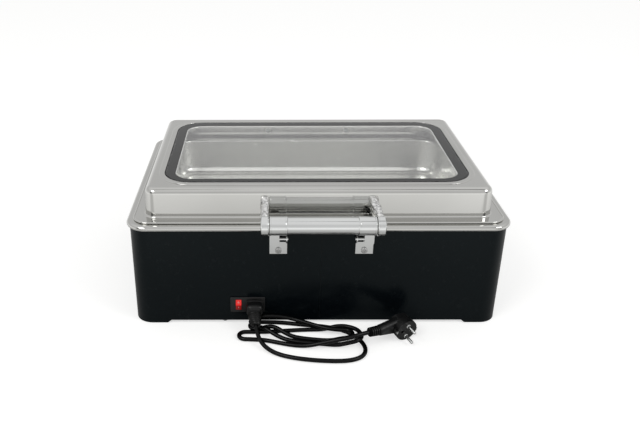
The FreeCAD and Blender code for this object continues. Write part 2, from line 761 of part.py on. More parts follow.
plate = node("heater_plate")
pad(
    plate,
    "XY",
    HEATER_Z,
    f"{HEATER_Z} + heater_thick",
    rounded("heater_width", "heater_depth", "14"),
    *discs("stud_radius + hole_play", STUDS),
)
pocket(
    plate,
    "XY",
    f"{HEATER_Z} - 1",
    f"{HEATER_Z} + heater_thick - 0.8",
    *discs(f"{SMALL} + 0.1", CLAMP_ENDS + SENSOR_SCREWS),
)


def serpentine(sketch):
    """Four legs joined by three half circles, the outer legs longer at the left."""
    rules = []
    legs = []
    for leg in range(4):
        y = f"{leg - 1.5} * element_pitch"
        left = "-element_half" if leg in (1, 2) else "-(element_half + element_lead)"
        start = FreeCAD.Vector(value(left), value(y), 0)
        finish = FreeCAD.Vector(value("element_half"), value(y), 0)
        legs.append(sketch.addGeometry(Part.LineSegment(start, finish)))
        rules += locate(legs[-1], 1, left, y)
        rules += locate(legs[-1], 2, "element_half", y)
    for turn in range(3):
        side = 1 if turn != 1 else -1
        centre = FreeCAD.Vector(side * value("element_half"), value(f"{turn - 1} * element_pitch"), 0)
        circle = Part.Circle(centre, FreeCAD.Vector(0, 0, 1), value("element_pitch / 2"))
        begin = -side * math.pi / 2
        arc = sketch.addGeometry(Part.ArcOfCircle(circle, begin, begin + math.pi))
        first, last = (turn, turn + 1) if side > 0 else (turn + 1, turn)
        end = 2 if side > 0 else 1
        rules.append(held("Coincident", arc, 1, legs[first], end))
        rules.append(held("Coincident", arc, 2, legs[last], end))
        rules.append(held("DistanceX", -1, 1, arc, 3, size=f"{side} * element_half"))
    return rules


element = node("heating_element")
track = sketch_on(element, "XY", ELEMENT_Z)
fill(track, [serpentine])
section = sketch_on(element, "YZ", "-(element_half + element_lead)")
fill(section, [disc("element_radius", "-1.5 * element_pitch", ELEMENT_Z)])
doc.recompute()
sweep = element.newObject("PartDesign::AdditivePipe", "heating_element_pipe")
sweep.Profile = section
sweep.Spine = (track, [f"Edge{i + 1}" for i in range(len(track.Shape.Edges))])

clamps = node("element_clamps")
pad(
    clamps,
    "XY",
    CLAMP_Z,
    f"{CLAMP_Z} + clamp_sheet",
    *[rounded("10", "2 * clamp_half", "4", x, "0") for x in CLAMPS],
    *discs(f"{SMALL} + 0.1", CLAMP_ENDS),
)
pan_screws(
    "clamp_screws", "XY", CLAMP_Z, CLAMP_ENDS, -1, f"{HEATER_Z} + 2.5 - {CLAMP_Z}", ("3", "2", SMALL)
)
for name, x in SENSORS:
    sensor = node(name)
    top = f"{HEATER_Z} - play"
    pad(
        sensor,
        "XY",
        f"{top} - 1",
        top,
        rounded(f"2 * ({SENSOR_EAR} + 4)", "9", "4", x, "0"),
        *discs(f"{SMALL} + 0.1", [(f"{x} + {side} * {SENSOR_EAR}", "0") for side in (-1, 1)]),
    )
    pad(sensor, "XY", f"{top} - sensor_height", top, disc("sensor_radius", x, "0"))
    for side in (-1, 1):
        blade = block(f"{x} + {side} * 4 - 0.4", f"{x} + {side} * 4 + 0.4", "-2.4", "2.4")
        pad(sensor, "XY", f"{top} - sensor_height - 7", f"{top} - sensor_height + 1", blade)
SENSOR_FACE = f"({HEATER_Z} - play - 1)"
pan_screws("sensor_screws", "XY", SENSOR_FACE, SENSOR_SCREWS, -1, "3.8", ("2.8", "2", SMALL))

studs = node("heater_studs")
SHIELD_NUT = "shield_z - play"
pad(studs, "XY", "shield_z - 7", "well_floor - pan_sheet", *discs("stud_radius", STUDS))
nuts = node("stud_nuts")
for top in (f"{HEATER_Z} - play", SHIELD_NUT):
    pad(
        nuts,
        "XY",
        f"{top} - nut_thick",
        top,
        *[hexagon("nut_flats", x, y) for x, y in STUDS],
        *discs("stud_radius + run_play", STUDS),
    )
shield = node("heat_shield")
pad(
    shield,
    "XY",
    "shield_z",
    "shield_z + shield_sheet",
    rounded("heater_width + 20", "heater_depth + 30", "10"),
    *discs("stud_radius + hole_play", STUDS),
)
pad(
    shield,
    "XY",
    "shield_z",
    "shield_z + 7",
    *ring("heater_width + 20", "heater_depth + 30", "10", "shield_sheet"),
)

# Earth terminal on the bottom plate
earth = pan_screws("earth_stud", "XY", PLATE_Z, [EARTH], -1, "plate_sheet + 14")
pad(
    earth,
    "XY",
    f"{PLATE_Z} + plate_sheet + play",
    f"{PLATE_Z} + plate_sheet + 3.5",
    hexagon("7", *EARTH),
)

# Inlet: moulded housing with the socket recess and the switch window
BACK_Y = f"({REAR} + inlet_body)"
PINS = (("-7", "-2"), ("7", "-2"), ("0", "2"))
ROCKER_Y = f"({REAR} - 0.5)"
ROCKER_Z = "(inlet_z + 0.2)"
ROCKER_PIN = "1"
CONTACTS = [(f"{ROCKER_X} + {i} * 2.6", f"{ROCKER_Z} + {j} * 5") for i in (-1, 1) for j in (-1, 1)]


def blades(places, wide, tall):
    """Rectangles of a width and height about each place."""
    return [
        block(f"{x} - ({wide}) / 2", f"{x} + ({wide}) / 2", f"{z} - ({tall}) / 2", f"{z} + ({tall}) / 2")
        for x, z in places
    ]


PIN_SPOTS = [(f"{SOCKET_X} + {x}", f"inlet_z + {z}") for x, z in PINS]
inlet = node("inlet_housing")
pad(
    inlet,
    "XZ",
    FACE_Y,
    f"{FACE_Y} + inlet_plate",
    rounded("inlet_width", "inlet_height", "1.5", "inlet_x", "inlet_z"),
)
soften(inlet, "0.8", lambda edge: abs(edge.BoundBox.YMax - value(FACE_Y)) < 0.01)
core = "(inlet_cut + 2 * play)"
pad(
    inlet,
    "XZ",
    f"{FACE_Y} + 1",
    BACK_Y,
    rounded(f"inlet_width - {core}", f"inlet_height - {core}", "1.7", "inlet_x", "inlet_z"),
)
for side in (-1, 1):
    root = f"inlet_z + {side} * ((inlet_height - {core}) / 2 - 0.5)"
    tip = f"inlet_z + {side} * ((inlet_height - {core}) / 2 + 1.1)"
    wall = f"{REAR} + case_sheet + play"
    barb = outline((wall, root), (wall, tip), (f"{wall} + 5", root))
    pad(inlet, "YZ", "inlet_x - 5", "inlet_x + 5", barb)
pocket(
    inlet,
    "XZ",
    f"{FACE_Y} - 1",
    f"{FACE_Y} + socket_deep",
    rounded("socket_width", "socket_height", "2.5", SOCKET_X, "inlet_z"),
)
pocket(
    inlet,
    "XZ",
    f"{FACE_Y} - 1",
    f"{FACE_Y} + 13",
    block(
        f"{ROCKER_X} - rocker_width / 2 - play",
        f"{ROCKER_X} + rocker_width / 2 + play",
        f"{ROCKER_Z} - rocker_half - 0.8",
        f"{ROCKER_Z} + rocker_half + 0.8",
    ),
)
pocket(
    inlet,
    "YZ",
    f"{ROCKER_X} - rocker_width / 2 - 1.8",
    f"{ROCKER_X} + rocker_width / 2 + 1.8",
    disc(f"{ROCKER_PIN} + run_play", ROCKER_Y, ROCKER_Z),
)
pocket(inlet, "XZ", f"{FACE_Y} + 5", f"{BACK_Y} + 1", *blades(PIN_SPOTS, "2.2", "4.2"))
pocket(inlet, "XZ", f"{FACE_Y} + 5", f"{BACK_Y} + 1", *blades(CONTACTS, "1", "4"))

pins = node("inlet_pins")
pad(pins, "XZ", f"{FACE_Y} + 2", f"{BACK_Y} + 7", *blades(PIN_SPOTS, "2", "4"))
contacts = node("switch_terminals")
pad(contacts, "XZ", f"{FACE_Y} + 15", f"{BACK_Y} + 7", *blades(CONTACTS, "0.8", "3.8"))

# Wiring: from the inlet through the switch to the sensors, the element and the earth stud
WIRE_RADIUS = 1.2
SHAFT_END = value(BACK_Y) + 7
LEG_END = value("-(element_half + element_lead)")
LEG_Z = value(ELEMENT_Z)
LEG_Y = value("1.5 * element_pitch")
BLADE_END = value(f"{HEATER_Z} - play - sensor_height") - 7
SHIELD_X = value("-(heater_width / 2 + 10)")
SHIELD_RIM = value("shield_z") + 7
CUTOUT_X = value("cutout_x")
(LIVE_PIN, NEUTRAL_PIN, EARTH_PIN) = [(value(x), SHAFT_END, value(z)) for x, z in PIN_SPOTS]
(LOW_OUT, HIGH_OUT, LOW_IN, HIGH_IN) = [(value(x), SHAFT_END, value(z)) for x, z in CONTACTS]
STUD_TOP = (value(EARTH[0]), value(EARTH[1]), value(f"{PLATE_Z} + plate_sheet") + 14)


def moved(spot, x=0, y=0, z=0):
    """A place moved along the axes."""
    return (spot[0] + x, spot[1] + y, spot[2] + z)


WIRES = (
    (LIVE_PIN, moved(LIVE_PIN, y=9), moved(LIVE_PIN, -8, 15, -1), moved(LOW_IN, y=9), LOW_IN),
    (
        NEUTRAL_PIN,
        moved(NEUTRAL_PIN, y=12),
        moved(NEUTRAL_PIN, -9, 24, 4),
        moved(HIGH_IN, 6, 22, 1),
        moved(HIGH_IN, y=11),
        HIGH_IN,
    ),
    (
        EARTH_PIN,
        moved(EARTH_PIN, y=8),
        moved(EARTH_PIN, 9, 14, 4),
        moved(STUD_TOP, -14, 3, 16),
        moved(STUD_TOP, z=11),
        STUD_TOP,
    ),
    (
        LOW_OUT,
        moved(LOW_OUT, y=12),
        moved(LOW_OUT, -22, 26),
        (SHIELD_X - 16, -LEG_Y - 20, SHIELD_RIM - 8),
        (SHIELD_X - 14, -LEG_Y - 4, SHIELD_RIM + 8),
        (SHIELD_X + 6, -LEG_Y, LEG_Z),
        (LEG_END, -LEG_Y, LEG_Z),
    ),
    (
        HIGH_OUT,
        moved(HIGH_OUT, y=10),
        moved(HIGH_OUT, -24, 22, 1),
        (SHIELD_X - 11, -LEG_Y - 52, SHIELD_RIM - 6),
        (SHIELD_X - 12, -LEG_Y + 8, SHIELD_RIM),
        (SHIELD_X - 6, -LEG_Y + 38, SHIELD_RIM + 6),
        (SHIELD_X + 16, -12, SHIELD_RIM + 4),
        (SHIELD_X + 50, -7, SHIELD_RIM),
        (SHIELD_X + 100, -1, BLADE_END - 5),
        (-14, 1, BLADE_END - 5),
        (-4, 0, BLADE_END - 5),
        (-4, 0, BLADE_END),
    ),
    (
        (4, 0, BLADE_END),
        (4, 0, BLADE_END - 5),
        (16, -2, BLADE_END - 5.2),
        (48, -4, BLADE_END - 5),
        (CUTOUT_X - 14, -1, BLADE_END - 5),
        (CUTOUT_X - 4, 0, BLADE_END - 5),
        (CUTOUT_X - 4, 0, BLADE_END),
    ),
    (
        (CUTOUT_X + 4, 0, BLADE_END),
        (CUTOUT_X + 4, 0, BLADE_END - 5),
        (CUTOUT_X + 14, 4, BLADE_END - 5),
        (CUTOUT_X + 10, 24, BLADE_END - 4),
        (60, 40, BLADE_END - 5),
        (-10, 48, BLADE_END - 4.6),
        (SHIELD_X + 76, 66, BLADE_END - 3),
        (SHIELD_X + 24, LEG_Y + 12, BLADE_END),
        (SHIELD_X + 10, LEG_Y + 4, LEG_Z - 4),
        (SHIELD_X + 24, LEG_Y, LEG_Z),
        (LEG_END, LEG_Y, LEG_Z),
    ),
)
free_form("wiring", Part.makeCompound([tube(route, WIRE_RADIUS)[0] for route in WIRES]))

# Rocker in its own frame, with its pivot at the origin, set tilted in the window
rocker = node("rocker_switch")
pad(
    rocker,
    "YZ",
    "-(rocker_width / 2)",
    "rocker_width / 2",
    outline(
        ("-4.3", "0"),
        ("-3", "rocker_half"),
        ("-1", "rocker_half"),
        ("4", "rocker_half - 3.6"),
        ("4", "-(rocker_half - 3.6)"),
        ("-1", "-rocker_half"),
        ("-3", "-rocker_half"),
    ),
)
pad(rocker, "YZ", "-(rocker_width / 2 + 1.6)", "rocker_width / 2 + 1.6", disc(ROCKER_PIN, "0", "0"))
rocker.Placement = FreeCAD.Placement(
    FreeCAD.Vector(), FreeCAD.Rotation(FreeCAD.Vector(1, 0, 0), -value("rocker_tilt"))
)
bind(rocker, "Placement.Base.x", ROCKER_X)
bind(rocker, "Placement.Base.y", ROCKER_Y)
bind(rocker, "Placement.Base.z", ROCKER_Z)
bind(rocker, "Placement.Rotation.Angle", "-rocker_tilt")

# Hinge: fixed tube in two straps, pinned to brackets on the casing
PIN_Y = f"({LUG_Y} + lug_thick / 2)"


def hinge_at(side, half):
    """Place along X on one side of the hinge's centre."""
    return f"(hinge_x + ({side}) * ({half}))"


def hinge_span(side, inner, outer):
    """Start and end along X, in rising order, between two half widths."""
    near, far = hinge_at(side, inner), hinge_at(side, outer)
    return (near, far) if side > 0 else (far, near)


tube_body = node("hinge_tube")
pad(
    tube_body,
    "YZ",
    "hinge_x - tube_half",
    "hinge_x + tube_half",
    disc("tube_radius", HINGE_Y, "hinge_z"),
    disc("tube_bore", HINGE_Y, "hinge_z"),
)
for name, side in SIDES:
    strap = node(f"hinge_strap_{name}")
    pad(
        strap,
        "YZ",
        *hinge_span(side, "tube_half - collar_width", "tube_half"),
        disc("collar_radius", HINGE_Y, "hinge_z"),
    )
    lug_x = hinge_at(side, "tube_half - lug_width / 2")
    pad(strap, "XZ", LUG_Y, f"{LUG_Y} + lug_thick", tongue(lug_x, "lug_width", "lug_foot", "hinge_z"))
    pocket(
        strap,
        "YZ",
        *hinge_span(side, "tube_half - collar_width - 1", "tube_half + 1"),
        disc("tube_radius + 0.1", HINGE_Y, "hinge_z"),
    )
    pocket(
        strap,
        "YZ",
        *hinge_span(side, "tube_half - lug_width - 1", "tube_half + 1"),
        disc("pin_radius + 0.1", PIN_Y, "pin_z"),
    )
    pocket(
        strap,
        "YZ",
        *hinge_span(side, "tube_half - lug_width - 1", "tube_half + 1"),
        disc("rim_bead + play", REAR, "rim_top - rim_bead"),
    )

    bracket = node(f"hinge_bracket_{name}")
    plate_y = f"({REAR} - play - bracket_sheet)"
    inner = "tube_half - bracket_width"
    shoulder = "tube_half - lug_width - 0.5"
    pad(
        bracket,
        "XZ",
        plate_y,
        f"{plate_y} + bracket_sheet",
        outline(
            (hinge_at(side, "tube_half"), "bracket_foot"),
            (hinge_at(side, inner), "bracket_foot"),
            (hinge_at(side, inner), "bracket_step"),
            (hinge_at(side, shoulder), "bracket_step"),
            (hinge_at(side, shoulder), "bracket_top"),
            (hinge_at(side, "tube_half"), "bracket_top"),
        ),
        disc("big_shank + hole_play", hinge_at(side, "bracket_reach"), "big_screw"),
    )
    ear = hinge_span(side, inner, f"{inner} + bracket_sheet")
    ear_half = "(pin_radius + 2.6)"
    pad(bracket, "YZ", *ear, disc(ear_half, PIN_Y, "pin_z"))
    pad(
        bracket,
        "YZ",
        *ear,
        outline(
            (PIN_Y, f"pin_z - {ear_half}"),
            (f"{plate_y} + bracket_sheet", f"bracket_step - {ear_half}"),
            (f"{plate_y} + bracket_sheet", f"pin_z + {ear_half}"),
            (PIN_Y, f"pin_z + {ear_half}"),
        ),
    )
    pocket(
        bracket,
        "YZ",
        *hinge_span(side, f"{inner} - 1", f"{inner} + bracket_sheet + 1"),
        disc("pin_radius + 0.1", PIN_Y, "pin_z"),
    )

    damper = node(f"damper_{name}")
    pad(
        damper,
        "YZ",
        *hinge_span(side, f"{CAP_IN} - shaft_length - 17", "tube_half - 6"),
        disc("tube_bore - 0.1", HINGE_Y, "hinge_z"),
    )
    pocket(
        damper,
        "YZ",
        *hinge_span(side, f"{CAP_IN} - shaft_length - 1.3", "tube_half"),
        disc("shaft_radius + run_play", HINGE_Y, "hinge_z"),
    )

cross_pins = node("bracket_pins")
bushes = node("hinge_bushes")
shafts = node("hinge_shafts")
for name, side in SIDES:
    pad(
        cross_pins,
        "YZ",
        *hinge_span(side, "tube_half - bracket_width - 1.5", "tube_half - 0.5"),
        disc("pin_radius", PIN_Y, "pin_z"),
    )
    bore = disc("shaft_radius + run_play", HINGE_Y, "hinge_z")
    pad(
        bushes,
        "YZ",
        *hinge_span(side, "tube_half - 5.7", "tube_half + 0.5"),
        disc("tube_bore - 0.1", HINGE_Y, "hinge_z"),
        bore,
    )
    pad(
        bushes,
        "YZ",
        *hinge_span(side, "tube_half + 0.2", "tube_half + cap_gap - 0.3"),
        disc("tube_bore + 2.5", HINGE_Y, "hinge_z"),
        bore,
    )
    pad(
        shafts,
        "YZ",
        *hinge_span(side, f"{CAP_IN} - shaft_length", f"{CAP_OUT} - 3"),
        disc("shaft_radius", HINGE_Y, "hinge_z"),
    )

BIG_GRIP = "bracket_sheet + play + case_sheet + big_grip"
BRACKET_FACE = f"({REAR} - play - bracket_sheet)"
HEAD_TOP = f"({BRACKET_FACE} - play - big_rise)"
BIG_KIND = ("big_head", "big_rise", "big_shank")
big = pan_screws("bracket_screws", "XZ", BRACKET_FACE, BIG_SCREWS, -1, BIG_GRIP, BIG_KIND)
soften(big, "big_rise / 2", lambda edge: abs(edge.BoundBox.YMax - value(HEAD_TOP)) < 0.01)
cross = [
    block(f"{x} - {i}", f"{x} + {i}", f"{z} - {j}", f"{z} + {j}")
    for x, z in BIG_SCREWS
    for i, j in (("2.9", "0.55"), ("0.55", "2.9"))
]
for bar in (cross[0::2], cross[1::2]):
    pocket(big, "XZ", f"{HEAD_TOP} - 1", f"{HEAD_TOP} + 1.5", *bar)
big_nuts = node("bracket_nuts")
nut_y = f"({REAR} + case_sheet + play)"
pad(
    big_nuts,
    "XZ",
    nut_y,
    f"{nut_y} + nut_thick",
    *[hexagon("nut_flats", x, z) for x, z in BIG_SCREWS],
    *discs("big_shank + run_play", BIG_SCREWS),
)

# Lid: drawn shell with a recess for the glass
GLASS = ("glass_width", "glass_depth", "glass_radius")
HANDLE_SPOTS = [("-handle_half", "handle_z"), ("handle_half", "handle_z")]
ARM_SPOTS = [
    (f"{side} * arm_reach", f"arm_z + {up} * arm_screws") for side in (-1, 1) for up in (-1, 1)
]


def lid_body(z, inset):
    """Outline of the lid's tapered wall at a height, moved in by inset."""
    draft = f"((({z}) - {FLANGE_Z}) * tan(lid_taper) + ({inset}))"
    return rounded(f"lid_width - 2 * {draft}", f"lid_depth - 2 * {draft}", f"lid_radius - {draft}")


def grown(more):
    """The glass's outline moved out all round."""
    width, depth, corner = GLASS
    return rounded(f"{width} + 2 * ({more})", f"{depth} + 2 * ({more})", f"{corner} + ({more})")


lid = node("lid_shell")
loft(lid, "Additive", "XY", (FLANGE_Z, lid_body(FLANGE_Z, "0")), ("lid_top", lid_body("lid_top", "0")))
ceiling = "lid_top - lid_sheet"
loft(
    lid,
    "Subtractive",
    "XY",
    (f"{FLANGE_Z} - 1", lid_body(f"{FLANGE_Z} - 1", "lid_sheet")),
    (ceiling, lid_body(ceiling, "lid_sheet")),
)
soften(lid, "lid_round - lid_sheet", level(ceiling))
soften(lid, "lid_round", level("lid_top"))
pad(
    lid,
    "XY",
    FLANGE_Z,
    f"{FLANGE_Z} + lid_sheet",
    rounded("lid_width + 2 * lid_flange", "lid_depth + 2 * lid_flange", "flange_radius"),
    lid_body(FLANGE_Z, "lid_sheet"),
)
pad(lid, "XY", "lid_top - 0.2", "lid_top + border_rise", grown("border_margin"))
soften(lid, "0.8", level("lid_top + border_rise"))
WINDOW_IN = "-window_margin"
pad(lid, "XY", f"{BED_Z} - lid_sheet", "lid_top", grown("seal_gap + lid_sheet"))
pad(lid, "XY", f"{BED_Z} - window_lip", BED_Z, grown(f"{WINDOW_IN} + lid_sheet"), grown(WINDOW_IN))
pocket(lid, "XY", BED_Z, "lid_top + border_rise + 1", grown("seal_gap"))
pocket(lid, "XY", f"{BED_Z} - window_lip - 1", f"{BED_Z} + 1", grown(WINDOW_IN))
pocket(
    lid,
    "XZ",
    f"{wall_y(1, 'lid_top')} - 8",
    "lid_depth / 2 + 1",
    *discs("screw_shank + hole_play", HANDLE_SPOTS),
)
pocket(
    lid,
    "XZ",
    "-(lid_depth / 2 + 1)",
    f"{wall_y(-1, 'lid_top')} + 8",
    *discs("screw_shank + hole_play", ARM_SPOTS),
)
bead(lid, "lid_hem", "lid_width + 2 * lid_flange", "lid_depth + 2 * lid_flange", "flange_radius", FLANGE_Z)

glass = node("lid_glass")
pad(glass, "XY", f"{GLASS_TOP} - glass_thick", GLASS_TOP, grown("0"))
soften(glass, "0.8", lambda edge: True)
seal = node("glass_seal")
SEAL_OUT = "seal_gap - 0.2"
pad(seal, "XY", BED_Z, f"{GLASS_TOP} - 0.4", grown(SEAL_OUT), grown("0.2"))
pad(seal, "XY", BED_Z, f"{BED_Z} + seal_bed", grown(SEAL_OUT), grown(f"{WINDOW_IN} + 2"))

# Lid arms: a round cap on the shaft and a leaning arm to the lid's rear wall
for name, side in SIDES:
    arm = node(f"lid_arm_{name}")
    pad(arm, "YZ", *hinge_span(side, CAP_IN, CAP_OUT), disc("cap_radius", HINGE_Y, "hinge_z"))
    soften(arm, "1.2", lambda edge: edge.BoundBox.XLength < 0.01)
    middle = hinge_at(side, f"({CAP_IN} + {CAP_OUT}) / 2")
    foot_y = f"{wall_y(-1, 'arm_z - arm_height / 2')} - play"
    loft(
        arm,
        "Additive",
        "XZ",
        (HINGE_Y, rounded("arm_width", "arm_root", "5", middle, "hinge_z + 2")),
        (foot_y, rounded("arm_width", "arm_height", "5", f"{side} * arm_reach", "arm_z + 1.5")),
    )
    pocket(
        arm,
        "YZ",
        *hinge_span(side, f"{CAP_IN} - 1", f"{CAP_OUT} - 2.5"),
        disc("shaft_radius + 0.05", HINGE_Y, "hinge_z"),
    )
    pocket(
        arm,
        "YZ",
        *hinge_span(side, f"{CAP_IN} - cap_width", CAP_IN),
        disc("collar_radius + play", HINGE_Y, "hinge_z"),
    )
    arm_holes = discs("screw_shank + 0.1", ARM_SPOTS[1 + side : 3 + side])
    pocket(arm, "XZ", f"{foot_y} - 6.5", f"{foot_y} + 1", *arm_holes)

back_y = f"({wall_y(-1, 'arm_z + arm_height / 2')} + lid_sheet + play)"
back_face = f"({back_y} + backplate_sheet)"
backs = node("arm_backplates")
pad(
    backs,
    "XZ",
    back_y,
    back_face,
    *[
        rounded("backplate_width", "backplate_height", "2", f"{side} * arm_reach", "arm_z")
        for _, side in SIDES
    ],
    *discs("screw_shank + hole_play", ARM_SPOTS),
)
ARM_SCREW = ("arm_head", "screw_rise", "screw_shank")
pan_screws("arm_screws", "XZ", back_face, ARM_SPOTS, 1, "arm_grip", ARM_SCREW)

# Lid handle on the serving side, with screws and washers from inside
WALL_FRONT = wall_y(1, "handle_z - post_radius")
BAR_Y = "(lid_depth / 2 + handle_out)"
handle = node("lid_handle")
bar_end = "(handle_half + handle_over)"
pad(handle, "YZ", f"-{bar_end}", bar_end, disc("handle_radius", BAR_Y, "handle_z"))
soften(handle, "3", lambda edge: edge.BoundBox.XLength < 0.01)
pad(handle, "XZ", f"{WALL_FRONT} + play", BAR_Y, *discs("post_radius", HANDLE_SPOTS))
pocket(handle, "XZ", "lid_depth / 2 - 8", "lid_depth / 2 + 12", *discs("screw_shank + 0.1", HANDLE_SPOTS))
washer_y = f"({wall_y(1, 'handle_z + 5')} - lid_sheet - play)"
washers = node("handle_washers")
washer_hole = discs("screw_shank + hole_play", HANDLE_SPOTS)
washer_face = f"({washer_y} - washer_thick)"
pad(washers, "XZ", washer_face, washer_y, *discs("post_radius", HANDLE_SPOTS), *washer_hole)
HANDLE_SCREW = ("handle_head", "handle_rise", "screw_shank")
pan_screws("handle_screws", "XZ", washer_face, HANDLE_SPOTS, -1, "handle_grip", HANDLE_SCREW)

# Cord connector: angled head, nose in the socket, and a strain relief that leans out
HEAD_Z = ("inlet_z - 10.7", "inlet_z + 10.7")
HEAD_BACK = f"({FACE_Y} - play)"
HEAD_DEEP = "21.4"
NOSE_PLAY = "0.35"
RELIEF_START = (-101, -215.3, 32.1)
connector = node("cord_connector")
pad(
    connector,
    "XZ",
    f"{HEAD_BACK} - {HEAD_DEEP}",
    HEAD_BACK,
    rounded("28", f"({HEAD_Z[1]}) - ({HEAD_Z[0]})", "6", SOCKET_X, "inlet_z"),
)
soften(connector, "3.5", lambda edge: edge.BoundBox.YMax < value(f"{HEAD_BACK} - {HEAD_DEEP}") + 0.01)
pad(
    connector,
    "XZ",
    f"{HEAD_BACK} - 1",
    f"{FACE_Y} + socket_deep - 1",
    rounded(
        f"socket_width - 2 * {NOSE_PLAY}",
        f"socket_height - 2 * {NOSE_PLAY}",
        "2.2",
        SOCKET_X,
        "inlet_z",
    ),
)
pocket(
    connector,
    "XZ",
    f"{FACE_Y} + 1",
    f"{FACE_Y} + socket_deep + 1",
    *blades(PIN_SPOTS, "2.4", "4.4"),
)

ROUTE = (
    (-98.5, -239.7, 21.9),
    (-96.8, -249.3, 17.2),
    (-93, -261.1, 11),
    (-83, -275.2, 5.4),
    (-63.9, -290.2, 3.7),
    (-33.7, -300.7, 3.8),
    (6.5, -306.3, 3.6),
    (44.7, -306.3, 3.7),
    (66.8, -295.2, 3.8),
    (73.4, -274.1, 3.7),
    (65.8, -250, 3.8),
    (45.7, -226.8, 3.7),
    (14.5, -214.8, 3.6),
    (-21.7, -210.3, 3.7),
    (-55.8, -203.7, 3.8),
    (-80, -202.4, 3.7),
    (-101, -202.4, 3.6),
    (-106, -210.8, 3.7),
    (-101, -219.2, 3.9),
    (-88, -219.8, 5.5),
    (-76, -224.2, 11),
    (-64.9, -230, 11.5),
    (-53.8, -237.6, 8),
    (-37.8, -245.2, 3.8),
    (-7.6, -251, 3.6),
    (18.6, -255, 4.2),
    (35.7, -256.9, 10),
    (49.8, -257.4, 12.2),
    (55.8, -247.2, 12.4),
    (50.3, -236.8, 12),
    (37.7, -235.8, 11.4),
    (17.6, -232.8, 11.5),
    (-5.6, -222.8, 11.9),
    (-33.7, -206.7, 12),
    (-59.9, -202.4, 15.5),
    (-84, -202.4, 16.2),
    (-102.5, -202.8, 12.6),
    (-109, -213.3, 12),
    (-103, -223.8, 11.5),
    (-92, -227.6, 11.5),
    (-80, -234.2, 11.4),
    (-67.9, -243.4, 7.4),
    (-49.8, -252.6, 3.8),
    (-21.7, -259.5, 3.6),
    (6.5, -262.5, 3.7),
    (28.6, -267.5, 4.8),
    (45.7, -269.5, 10.5),
    (60.8, -267, 12.8),
    (69.4, -255.9, 13),
    (64.4, -237.3, 12.8),
    (48.8, -227.3, 12.6),
    (31.7, -225.3, 12.2),
    (10.5, -225, 4.6),
    (-15.6, -223.8, 3.7),
    (-49.8, -226.4, 3.6),
    (-84, -228.6, 3.7),
    (-106.1, -228, 3.7),
    (-121.2, -227.2, 3.7),
    (-126, -235.2, 3.6),
    (-121.2, -243.2, 3.7),
    (-106.1, -243.2, 3.7),
    (-84, -248, 3.6),
    (-59.9, -260.4, 3.7),
    (-37.8, -267, 3.8),
    (-17.6, -270.1, 5.5),
    (2.5, -272.5, 12),
    (26.6, -275.5, 20),
    (48.9, -276.7, 25.8),
    (64.9, -269.7, 27.5),
    (78.3, -263.2, 26.1),
)
CORD_RADIUS = value("cord_radius")
RELIEF_END = 4.4


def tapered(points, radii):
    """Solid through circles whose radii change along a gently bent line."""
    spots = [FreeCAD.Vector(*p) for p in points]
    rings = []
    for index, (spot, radius) in enumerate(zip(spots, radii)):
        before = spots[max(index - 1, 0)]
        after = spots[min(index + 1, len(spots) - 1)]
        circle = Part.Circle(spot, after - before, radius)
        rings.append(Part.Wire([circle.toShape()]))
    return Part.makeLoft(rings, True, False)


# The relief starts inside the head and meets the cord face to face
lean = FreeCAD.Vector(*ROUTE[0]) - FreeCAD.Vector(*ROUTE[1])
lean.normalize()
mouth = FreeCAD.Vector(*ROUTE[0])
root = FreeCAD.Vector(*RELIEF_START)
relief_line = [root, root + FreeCAD.Vector(0.2, -9, -2.8), mouth + lean * 9, mouth + lean * 4, mouth]
relief = tapered(relief_line, (8.6, 8.2, 5.9, 4.9, RELIEF_END))
doc.recompute()
outside = relief.cut(connector.Shape)
free_form("connector_relief", max(outside.Solids, key=lambda solid: solid.Volume))

cord, line, bends = tube(ROUTE, CORD_RADIUS)
free_form("power_cord", cord)
print("cord bend radii:", ", ".join(f"{size:.1f}" for size in bends))
swept = math.pi * CORD_RADIUS**2 * line.Length
print(f"cord length {line.Length:.1f} mm, volume {cord.Volume:.0f}, section times length {swept:.0f}")


def self_gap(wire, radius):
    """Least gap between parts of a tube that lie over three diameters apart along it."""
    spots = wire.discretize(Distance=2.0)
    apart = int(6 * radius / 2.0) + 1
    least = min(
        a.distanceToPoint(b) for i, a in enumerate(spots) for b in spots[i + apart :]
    )
    return least - 2 * radius


print(f"cord's least gap to itself: {self_gap(line, CORD_RADIUS):.2f} mm")

# Plug in its own frame: +Z along the pins, +X towards the cord, origin at its face
PINS_WAY = FreeCAD.Vector(0.425, -0.895, -0.135)
RELIEF_X = 44
CORD_X = 62
CORD_DEEP = 14


def plug_place():
    """Placement whose X is along the cord's last run and whose Z is nearly along the pins."""
    end = FreeCAD.Vector(*ROUTE[-1])
    x = (FreeCAD.Vector(*ROUTE[-2]) - end).normalize()
    y = PINS_WAY.cross(x).normalize()
    z = x.cross(y)
    turn = FreeCAD.Rotation(x, y, z, "XYZ")
    mouth_at = FreeCAD.Vector(CORD_X, 0, -CORD_DEEP)
    return FreeCAD.Placement(end - turn.multVec(mouth_at), turn)


